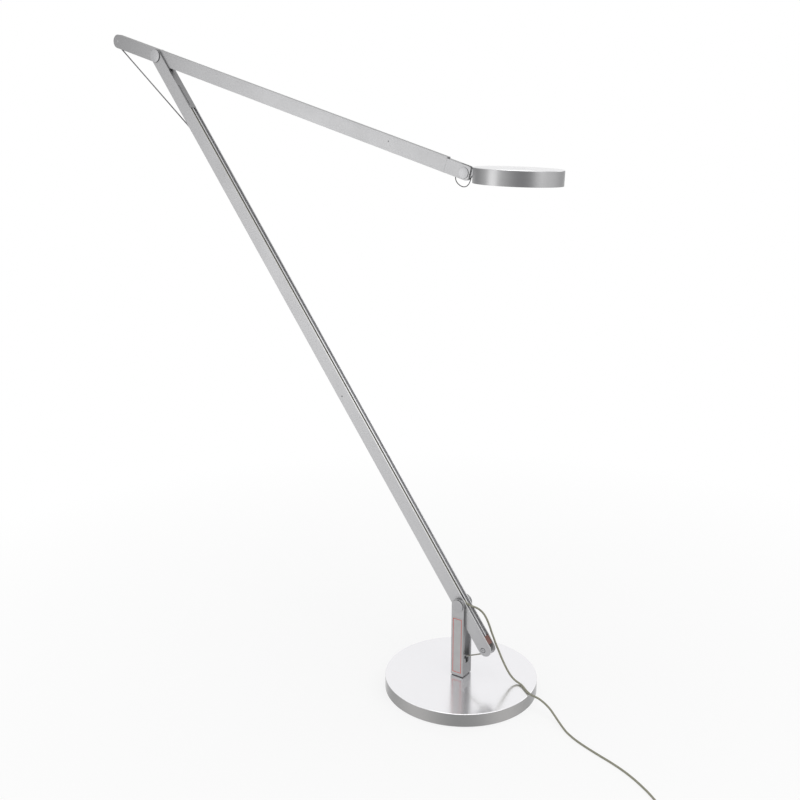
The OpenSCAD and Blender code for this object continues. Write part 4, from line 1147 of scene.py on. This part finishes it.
class LAMP_OT_elbow(bpy.types.Operator):
    """Mill the elbow's fork with its two cheeks, its web and the spigot inside the arm"""

    bl_idname = "lamp.elbow"
    bl_label = "Elbow Fork"

    web: metres("Web", "Thickness of the wall between the cheeks", 0.006)
    web_top: metres("Web top", "Height left open above the web", 0.0405)
    spigot: metres("Spigot", "Length inside the arm", 0.034)

    def execute(self, context):
        lo, hi = span("elbow_fork", ON_LOWER)
        gap = 0.0055
        foot = lo.z + self.spigot
        r = hi.x
        top = hi.z - r
        outline = [(-r, foot), (r, foot)] + arc((0, top), r, 0, 180, 28)
        fork = slab("elbow_cheeks", outline, hi.y, lo.y)
        chamber_x0, chamber_x1 = -0.0105, 0.0059
        chamber = hi.y - 0.002
        exit_x, exit_y = 0.0091, -0.0039
        lean, reach, lead_hole = math.radians(20), 0.028, 0.0017
        bore_end = Vector((exit_x - reach * math.sin(lean), exit_y, foot + reach * math.cos(lean)))
        carve(
            fork,
            block((-0.03, -gap, foot - 0.01), (r - self.web, gap, hi.z + 0.01)),
            block((-0.03, -gap, top - self.web_top), (0.03, gap, hi.z + 0.01)),
            bore(0, top, 0.003, 0.03),
        )
        carve(fork, block((chamber_x0, -chamber, lo.z), (chamber_x1, chamber, foot + 0.0002)), way="UNION")
        carve(
            fork,
            rod((exit_x, exit_y, foot - 0.0002), bore_end, lead_hole),
            block((r - 0.0025, -gap, foot + 0.005), (r + 0.001, 0.0015 - gap, top - self.web_top - 0.036)),
        )
        soften(fork, 0.0003)
        settle(fork, ON_LOWER, "lower_arm", "arm_aluminium", "elbow_fork", finish=arm_finish("fork"))
        return {"FINISHED"}


class LAMP_OT_upper_arm(bpy.types.Operator):
    """Extrude the upper arm's profile and open its rounded tail for the roller"""

    bl_idname = "lamp.upper_arm"
    bl_label = "Upper Arm"

    wall: metres("Wall", "Wall of the upper profile", 0.0015)
    tail_slot: metres("Tail slot", "Where the open tail ends, from the elbow", 0.074)

    def execute(self, context):
        lo, hi = span("upper_profile", ON_UPPER)
        r, half = hi.z, hi.y
        tail = lo.x + r
        inner = half - self.wall
        outline = [(hi.x, r), (hi.x, -r)] + arc((tail, 0), r, 270, 90, 28)
        profile = slab("upper_arm_profile", outline, half, -half)
        carve(
            profile,
            block((-self.tail_slot - 0.0001, -inner, self.wall - r), (hi.x + 0.01, inner, r - self.wall)),
            block((lo.x - 0.01, -inner, -0.03), (-self.tail_slot, inner, r - self.wall)),
            bore(0, 0, span("elbow_axle", ON_UPPER)[1].z + 0.00105),
            bore(tail, 0, 0.002),
            rod((0.026, 0, -r - 0.001), (0.026, 0, -r + 0.004), 0.0017),
        )
        soften(profile, 0.0003)
        settle(profile, ON_UPPER, "upper_arm", "arm_aluminium", "upper_profile", finish=arm_finish("upper"))
        self.fitting()
        return {"FINISHED"}

    def fitting(self):
        lo, hi = span("head_fitting", ON_UPPER)
        mid, height, corner, slot, plug = -FITTING_DROP, 0.023, 0.006, 0.0105, 0.026
        start, top = lo.x + plug, lo.z + height
        outline = [(start, top), (start, lo.z)] + arc((hi.x - corner, lo.z + corner), corner, -90, 0, 10)
        outline += arc((hi.x - corner, top - corner), corner, 0, 90, 10)
        body = slab("head_end_fitting", outline, hi.y, lo.y)
        cable_top = span("upper_cable", ON_UPPER)[1].z
        inner, cheek = hi.y - 0.0015, 0.0024
        inside = block((lo.x, -inner, cable_top), (start + 0.0002, inner, hi.z))
        carve(inside, block((start - 0.0005, -0.02, top - 0.0008), (start + 0.001, 0.02, 0.02)))
        carve(body, inside, way="UNION")
        carve(
            body,
            block((UPPER_LEN - slot, cheek - hi.y, -0.03), (hi.x + 0.01, hi.y - cheek, 0.03)),
            bore(UPPER_LEN, mid, 0.0025),
            rod((UPPER_LEN - 0.015, 0, lo.z - 0.001), (UPPER_LEN - 0.015, 0, lo.z + 0.003), 0.0011),
        )
        soften(body, 0.0003)
        settle(body, ON_UPPER, "upper_arm", "arm_aluminium", "head_fitting", finish=arm_finish("upper"))


def on_head(mid):
    """The place of a round piece of the head that was turned about its own axis."""
    return ON_HEAD @ Matrix.Translation((mid.x, 0, 0))


class LAMP_OT_head(bpy.types.Operator):
    """Turn the head's shell with its bosses, the diffuser, its ring, the button and the knuckle"""

    bl_idname = "lamp.head"
    bl_label = "Head"

    wall: metres("Wall", "Wall of the head's rim", 0.002)
    plate: metres("Plate", "Thickness of the head's top", 0.0025)

    def execute(self, context):
        self.knuckle()
        self.shell()
        self.glass()
        self.button()
        return {"FINISHED"}

    def screw_holes(self, x0, x1):
        """The two holes of the screws that hold the knuckle to the shell."""
        return [rod((x0, 0, z), (x1, 0, z), 0.00125) for z in (-0.0048, -0.0004)]

    def shell(self):
        lo, hi = span("head_shell", ON_HEAD)
        mid = (lo + hi) / 2
        r = (hi.y - lo.y) / 2
        edge = 0.0015
        rim = 0.0083
        outline = [(r - self.wall, lo.z), (r, lo.z)] + arc((r - edge, hi.z - edge), edge, 0, 90, 6)
        outline += [(rim, hi.z), (rim, hi.z - self.plate), (r - self.wall, hi.z - self.plate)]
        shell = lathe("head_drum", outline, 192)
        boss_foot = span("heat_spreader", ON_HEAD)[1].z
        boss_ring, boss_r = 0.052, 0.004
        for angle in (60, 180, 300):
            a = math.radians(angle)
            x, y = boss_ring * math.cos(a), boss_ring * math.sin(a)
            carve(shell, rod((x, y, boss_foot), (x, y, hi.z - self.plate + 0.0002), boss_r), way="UNION")
        carve(
            shell,
            *self.screw_holes(-r - 0.002, -r + 0.004),
            rod((-r - 0.002, -0.0054, 0.002), (-r + 0.004, -0.0054, 0.002), 0.0011),
        )
        soften(shell, 0.00015, 1, 50)
        settle(shell, on_head(mid), "head", "head_metal", "head_shell")

    def glass(self):
        lo, hi = span("diffuser", ON_HEAD)
        mid = (lo + hi) / 2
        r, edge = (hi.y - lo.y) / 2, 0.0003
        outline = [(0, lo.z)] + arc((r - edge, lo.z + edge), edge, 270, 360, 3)
        outline += arc((r - edge, hi.z - edge), edge, 0, 90, 3) + [(0, hi.z)]
        glass = lathe("opal_glass", outline, 160, 35)
        settle(glass, on_head(mid), "head", "opal_sheet", "diffuser")
        lo, hi = span("retaining_ring", ON_HEAD)
        r = (hi.y - lo.y) / 2
        lip = 0.004
        outline = [(r - lip, hi.z), (r, hi.z), (r, lo.z + 0.0003), (r - 0.0003, lo.z)]
        outline += [(r - lip + 0.0006, lo.z), (r - lip, lo.z + 0.0006)]
        ring = lathe("retaining_lip", outline, 160, 25)
        settle(ring, on_head(mid), "head", "head_metal", "retaining_ring")

    def button(self):
        lo, hi = span("dimmer_button", ON_HEAD)
        mid = (lo + hi) / 2
        flange_r, r, stem_r = (hi.y - lo.y) / 2, 0.008, 0.0025
        plate_foot = hi.z - self.plate
        outline = [(0, lo.z), (stem_r, lo.z), (stem_r, plate_foot - 0.001), (flange_r, plate_foot - 0.001)]
        outline += [(flange_r, plate_foot - 0.0001), (r, plate_foot - 0.0001)]
        outline += arc((r - 0.0004, hi.z - 0.0004), 0.0004, 0, 90, 4)
        outline += [(0.006, hi.z), (0.004, hi.z - 0.0002), (0, hi.z - 0.0003)]
        button = lathe("dimmer_knob", outline, 64, 35)
        settle(button, on_head(mid), "dimmer_button", "head_metal", "dimmer_button")

    def knuckle(self):
        lo, hi = span("head_knuckle", ON_HEAD)
        shell = span("head_shell", ON_HEAD)
        r, bar, tongue = -lo.x, 0.0065, span("head_fitting", ON_UPPER)[1].y - 0.0027
        start = math.degrees(math.asin(bar / r))
        outline = arc((0, 0), r, start, 360 - start, 36) + [(hi.x, -bar), (hi.x, bar)]
        knuckle = slab("hinge_tongue", outline, tongue, -tongue)
        mid_x = (shell[0].x + shell[1].x) / 2
        carve(knuckle, block((0.022, -0.003, -bar), (hi.x, 0.003, bar)), way="UNION")
        carve(
            knuckle,
            bore(0, 0, 0.00255),
            rod((mid_x, 0, -0.03), (mid_x, 0, 0.03), (shell[1].y - shell[0].y) / 2, 192),
            *self.screw_holes(0.02, 0.03),
        )
        soften(knuckle, 0.0003)
        settle(knuckle, ON_HEAD, "head", "arm_aluminium", "head_knuckle", finish=arm_finish("upper"))


class LAMP_OT_rollers(bpy.types.Operator):
    """Turn the grooved rollers, the pins and the ball-ended eye of the balance cords"""

    bl_idname = "lamp.rollers"
    bl_label = "Rollers and Pins"

    groove: metres("Groove", "Radius at the bottom of the groove", 0.0068)

    def execute(self, context):
        self.roller("lower_roller", "lower_roller_wheel", ON_LOWER, "lower_roller")
        self.roller("upper_roller", "upper_roller_wheel", ON_UPPER, "upper_roller")
        self.pin("anchor_pin", "anchor_rod", ON_FLOOR, "post", 0.0003)
        self.tail_pin()
        self.eye()
        return {"FINISHED"}

    def roller(self, node_name, name, place, body):
        lo, hi = span(node_name, place)
        mid = (lo + hi) / 2
        r, half, hole, inner = (hi.z - lo.z) / 2, hi.y, 0.00205, STRING_D / 2 + 0.0002
        e = 0.0003
        soft = inner - 0.0006
        half_outline = [(self.groove, soft)] + arc((self.groove + 0.0005, soft), 0.0005, 180, 90, 3)
        half_outline += [(r - e, inner), (r, inner + e), (r, half - e), (r - e, half), (hole + 0.0025, half)]
        half_outline += [(hole + 0.0022, half - 0.0003), (hole + 0.0003, half - 0.0003)]
        half_outline += [(hole, half - 0.0006)]
        outline = [(x, -y) for x, y in reversed(half_outline)] + half_outline
        wheel = lathe(name, outline, 72, 35)
        wheel.matrix_world = lying(mid, "X")
        settle(wheel, place, body, "pale_plastic", node_name)

    def pin(self, node_name, name, place, body, chamfer):
        lo, hi = span(node_name, place)
        r, length, c = (hi.z - lo.z) / 2, hi.y - lo.y, chamfer
        outline = [(0, 0), (r - c, 0), (r, c), (r, length - c), (r - c, length), (0, length)]
        rod_piece = lathe(name, outline, 40, 35)
        at = Vector(((lo.x + hi.x) / 2, hi.y, (lo.z + hi.z) / 2))
        rod_piece.matrix_world = lying(at, "X")
        settle(rod_piece, place, body, "plated_steel", node_name)

    def tail_pin(self):
        """The roller's pin with its flat heads and the spacers that keep the roller in the middle."""
        lo, hi = span("lower_roller_pin", ON_LOWER)
        wheel = span("lower_roller", ON_LOWER)
        mid, head, r = (lo + hi) / 2, (hi.z - lo.z) / 2, 0.002
        spacer, half, play, cheek = r + 0.0015, (wheel[1].y - wheel[0].y) / 2, 0.0001, 0.0065
        side = [(r, half + play), (spacer, half + play), (spacer, cheek), (r, cheek), (r, hi.y - 0.001)]
        side += [(head, hi.y - 0.001), (head - 0.0009, hi.y), (0.0012, hi.y)]
        side += [(0.0006, hi.y - 0.0005), (0, hi.y - 0.0005)]
        outline = [(x, -y) for x, y in reversed(side)] + side
        pin = lathe("tail_roller_pin", outline, 48, 30)
        pin.matrix_world = lying((mid.x, 0, mid.z), "X")
        settle(pin, ON_LOWER, "lower_arm", "cap_aluminium", "lower_roller_pin")

    def eye(self):
        lo, hi = span("string_eye", ON_LOWER)
        ball = (hi.z - lo.z) / 2
        stud = 0.0025
        root = math.sqrt(ball**2 - stud**2)
        length = hi.x - lo.x - ball
        start = math.degrees(math.asin(root / ball))
        outline = [(0, length), (stud, length), (stud, root)]
        outline += arc((0, 0), ball, start, -90, 16)
        eye = lathe("cord_eye", outline, 40, 35)
        eye.matrix_world = lying((lo.x + ball, 0, (lo.z + hi.z) / 2), "Y")
        settle(eye, ON_LOWER, "lower_arm", "plated_steel", "string_eye")


class LAMP_OT_adapter(bpy.types.Operator):
    """Mould the plug-in adapter with its strain relief, and turn its pins"""

    bl_idname = "lamp.adapter"
    bl_label = "Adapter"

    seam: metres("Seam", "Width of the seam round the housing", 0.0006)

    def execute(self, context):
        lo, hi = span("adapter_body")
        body = block(lo, hi)
        body.name = "adapter_housing"
        soften(body, 0.003, 4)
        mid, seam = (lo.z + hi.z) / 2, self.seam
        past = Vector((0.01, 0.01, 0))
        low, high = Vector((lo.x, lo.y, mid - seam / 2)), Vector((hi.x, hi.y, mid + seam / 2))
        cutter = block(low - past, high + past)
        carve(cutter, block(lo + Vector((seam, seam, 0)), hi - Vector((seam, seam, 0))))
        carve(body, cutter)
        panel = (lo.x + 0.012, lo.y + 0.006, hi.z - 0.0004), (hi.x - 0.012, hi.y - 0.006, hi.z + 0.001)
        carve(body, block(*panel))
        smooth(body, 30)
        settle(body, ON_FLOOR, "base", "black_plastic", "adapter_body")
        self.relief()
        self.pins()
        return {"FINISHED"}

    def relief(self):
        lo, hi = span("adapter_relief")
        mid = (lo + hi) / 2
        length = hi.x - lo.x
        r0, r1, hole = CORD_D / 2 + 0.0005, (hi.y - lo.y) / 2, CORD_D / 2 + 0.0001
        outline = [(hole, 0)]
        ribs, deep = 7, 0.0006
        for i in range(ribs):
            z0, z1 = length * i / ribs, length * (i + 0.6) / ribs
            radius = r0 + (r1 - r0) * i / ribs
            outline += [(radius, z0), (radius + (r1 - r0) * 0.6 / ribs, z1)]
            if i < ribs - 1:
                neck = radius - deep * (i + 1) / ribs
                outline += [(neck, z1 + 0.0004), (neck, length * (i + 1) / ribs - 0.0003)]
        outline += [(r1, length), (hole, length)]
        sleeve = lathe("strain_relief", outline, 40, 35)
        sleeve.matrix_world = lying((lo.x, mid.y, mid.z), "Y")
        settle(sleeve, ON_FLOOR, "base", "black_rubber", "adapter_relief")

    def pins(self):
        lo, hi = span("adapter_pins")
        r, length = (hi.z - lo.z) / 2, hi.x - lo.x
        nose = arc((r - 0.0012, length - 0.0012), 0.0012, 0, 90, 4)
        outline = [(0, 0), (r, 0), (r, length - 0.0012)] + nose[1:] + [(0, length)]
        first = lathe("plug_pin_left", outline, 32, 40)
        first.matrix_world = lying((lo.x, lo.y + r, lo.z + r), "Y")
        second = again(first, "plug_pin_right", (0, hi.y - lo.y - 2 * r, 0))
        for pin in (first, second):
            settle(pin, ON_FLOOR, "base", "plated_steel", "adapter_pins")


def spiral(start, end, radius, turns, steps, out):
    """Points of a helix between two places in the arm's plane."""
    way = (end - start).normalized()
    up = way.cross(out)
    made = []
    for i in range(int(turns * steps) + 1):
        share = i / (turns * steps)
        a = math.tau * turns * share
        made.append(start + (end - start) * share + radius * (math.cos(a) * out + math.sin(a) * up))
    return made


class LAMP_OT_balance(bpy.types.Operator):
    """Run the balance cords over their rollers, and wind the springs inside the arms"""

    bl_idname = "lamp.balance"
    bl_label = "Balance Cords"

    radius: metres("Cord radius", "Radius of the cord's middle on its roller", 0.0082)

    def execute(self, context):
        self.lower()
        self.upper()
        return {"FINISHED"}

    def wrap(self, place, centre, radius, first, last, steps=20):
        """Points on a roller's groove, from one angle to another in the arm's own XZ plane."""
        return [place @ Vector((x, 0, z)) for x, z in arc((centre.x, centre.z), radius, first, last, steps)]

    def touch(self, place, point, centre, side):
        """Angle in the arm's own plane at which a cord from a point meets the roller."""
        seen = place.inverted() @ point
        away = Vector((seen.x - centre.x, 0, seen.z - centre.z))
        bearing = math.degrees(math.atan2(away.z, away.x))
        return bearing + side * math.degrees(math.acos(self.radius / away.length))

    def lower(self):
        anchor = middle("anchor_pin")
        anchor.y = 0
        centre = middle("lower_roller", ON_LOWER)
        meet = self.touch(ON_LOWER, anchor, centre, 1)
        inner = span("lower_inner_string", ON_LOWER)
        wrap = self.wrap(ON_LOWER, centre, self.radius, meet, 360, 24)
        pin_r = span("anchor_pin")[1].x + STRING_D / 2
        away = (wrap[0] - anchor).normalized()
        base_angle = math.atan2(away.z, away.x)
        crimp = anchor + 0.011 * away
        loop = []
        for i in range(25):
            a = base_angle + math.radians(60 + 240 * i / 24)
            loop.append(anchor + pin_r * Vector((math.cos(a), 0, math.sin(a))))
        run = [wrap[0] + (crimp - wrap[0]) * i / 12 for i in range(12)]
        path = list(reversed(wrap[1:])) + run + [crimp]
        cord = strung("lower_balance_cord", path, STRING_D, "string_olive", "lower_string")
        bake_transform(cord)
        aside = 0.0003 * away.cross(Vector((0, 1, 0)))
        path = [crimp + aside] + loop + [crimp - aside]
        strung("lower_cord_eye", path, 0.0014, "string_olive", "lower_string", body="post")
        sleeve = lathe(
            "crimp_sleeve",
            [(0.00122, 0), (0.0017, 0), (0.002, 0.0004), (0.002, 0.0056), (0.0017, 0.006), (0.00122, 0.006)],
            32, 40,
        )
        turn = away.to_track_quat("Z", "Y").to_matrix().to_4x4()
        sleeve.matrix_world = Matrix.Translation(crimp - 0.003 * away) @ turn
        settle(sleeve, ON_FLOOR, "post", "plated_steel", "lower_string")
        top = ON_LOWER @ Vector((inner[1].x - STRING_D / 2, 0, inner[1].z))
        foot = ON_LOWER @ Vector((inner[1].x - STRING_D / 2, 0, inner[0].z))
        path = straight(foot, top, 20)
        inside = strung("lower_cord_inside", path, STRING_D, "string_olive", "lower_inner_string")
        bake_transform(inside)
        self.spring("lower", ON_LOWER, "z", 0.0014, 0.0028)

    def upper(self):
        centre = middle("upper_roller", ON_UPPER)
        ball = span("string_eye", ON_LOWER)
        eye = ON_LOWER @ Vector((ball[0].x + 0.0026, 0, (ball[0].z + ball[1].z) / 2))
        meet = self.touch(ON_UPPER, eye, centre, -1)
        inner = span("upper_inner_string", ON_UPPER)
        height = inner[1].z - STRING_D / 2
        wrap = self.wrap(ON_UPPER, centre, self.radius, meet, 90 - 360, 28)
        away = (wrap[0] - eye).normalized()
        start = eye + 0.0029 * away
        run = straight(start, wrap[0], 16)
        cord = strung("upper_balance_cord", run, STRING_D, "string_grey", "upper_string", body="lower_arm")
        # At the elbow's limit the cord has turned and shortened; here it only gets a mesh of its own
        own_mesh(cord)
        foot = ON_UPPER @ Vector((inner[0].x, 0, height))
        end = ON_UPPER @ Vector((inner[1].x, 0, height))
        path = wrap[1:-1] + straight(foot, end, 24)
        inside = strung("upper_cord_inside", path, STRING_D, "string_grey", "upper_inner_string")
        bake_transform(inside)
        self.spring("upper", ON_UPPER, "x", 0.001, 0.0024)

    def spring(self, arm, place, way, wire, pitch):
        """Winds an arm's spring along its own X or Z, between its slider and its fixed end."""
        name = arm + "_spring"
        lo, hi = span(name, place)
        mid = (lo + hi) / 2
        radius = (hi.y - lo.y) / 2 - wire / 2
        if way == "z":
            ends = Vector((mid.x, 0, lo.z + wire / 2)), Vector((mid.x, 0, hi.z - wire / 2))
        else:
            ends = Vector((lo.x + wire / 2, 0, mid.z)), Vector((hi.x - wire / 2, 0, mid.z))
        turns = round((ends[1] - ends[0]).length / pitch)
        steps = 14
        path = [place @ p for p in spiral(ends[0], ends[1], radius, turns, steps, Vector((0, 1, 0)))]
        coil = strung(name + "_coil", path, wire, "plated_steel", name, sides=8)
        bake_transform(coil)


class LAMP_OT_leads(bpy.types.Operator):
    """Lay the cable in the channel, the lead over the elbow and the wire at the head"""

    bl_idname = "lamp.leads"
    bl_label = "Inner Leads"

    def execute(self, context):
        lo, hi = span("lower_cable", ON_LOWER)
        mid = (lo + hi) / 2
        path = [ON_LOWER @ Vector((mid.x, mid.y, lo.z + (hi.z - lo.z) * i / 8)) for i in range(9)]
        strung("channel_cable", path, CORD_D, "cord_sheath", "lower_cable", body="lower_arm")
        path = laid(elbow_route, 6)
        lead = strung("elbow_cable", path, LEAD_D, "black_rubber", "elbow_lead")
        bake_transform(lead)
        path = laid(wire_route, 8)
        wire = strung("hinge_wire", path, WIRE_D, "black_rubber", "head_wire", sides=12)
        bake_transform(wire)
        return {"FINISHED"}


class LAMP_OT_dress(bpy.types.Operator):
    """Give every solid that still shows the finish of its own material slot"""

    bl_idname = "lamp.dress"
    bl_label = "Finish the Solids"

    def execute(self, context):
        for solid in frame["nodes"].values():
            slot = solid.data.materials[0].name.split(".")[0]
            solid.data.materials[0] = finish_of(slot)
        return {"FINISHED"}


class LAMP_PT_steps(bpy.types.Panel):
    """Lists the steps that build the lamp"""

    bl_label = "Balanced Arm Lamp"
    bl_idname = "LAMP_PT_steps"
    bl_space_type = "VIEW_3D"
    bl_region_type = "UI"
    bl_category = "Lamp"

    def draw(self, context):
        for name in ("edge_round", "cord_sides", "keyline"):
            self.layout.prop(context.scene.lamp_sizes, name)
        for name in ("aluminium", "base", "head", "caps", "cord", "string", "keyline"):
            self.layout.prop(context.scene.lamp_colours, name)
        for step in STEPS:
            self.layout.operator(step.bl_idname)


STEPS = (
    LAMP_OT_studio,
    LAMP_OT_adapter,
    LAMP_OT_power_cord,
    LAMP_OT_balance,
    LAMP_OT_leads,
    LAMP_OT_base,
    LAMP_OT_post,
    LAMP_OT_caps,
    LAMP_OT_lower_arm,
    LAMP_OT_elbow,
    LAMP_OT_upper_arm,
    LAMP_OT_head,
    LAMP_OT_rollers,
    LAMP_OT_dress,
)


def register():
    for made in (LampSizes, LampColours) + STEPS + (LAMP_PT_steps,):
        bpy.utils.register_class(made)
    bpy.types.Scene.lamp_sizes = PointerProperty(type=LampSizes)
    bpy.types.Scene.lamp_colours = PointerProperty(type=LampColours)


def unregister():
    del bpy.types.Scene.lamp_colours
    del bpy.types.Scene.lamp_sizes
    for made in reversed((LampSizes, LampColours) + STEPS + (LAMP_PT_steps,)):
        bpy.utils.unregister_class(made)


def main():
    register()
    bpy.ops.lamp.studio()
    bpy.ops.lamp.adapter()
    bpy.ops.lamp.power_cord()
    bpy.ops.lamp.balance()
    bpy.ops.lamp.leads()
    bpy.ops.lamp.base()
    bpy.ops.lamp.post()
    bpy.ops.lamp.caps()
    bpy.ops.lamp.lower_arm()
    bpy.ops.lamp.elbow()
    bpy.ops.lamp.upper_arm()
    bpy.ops.lamp.head()
    bpy.ops.lamp.rollers()
    bpy.ops.lamp.dress()


if __name__ == "__main__":
    main()
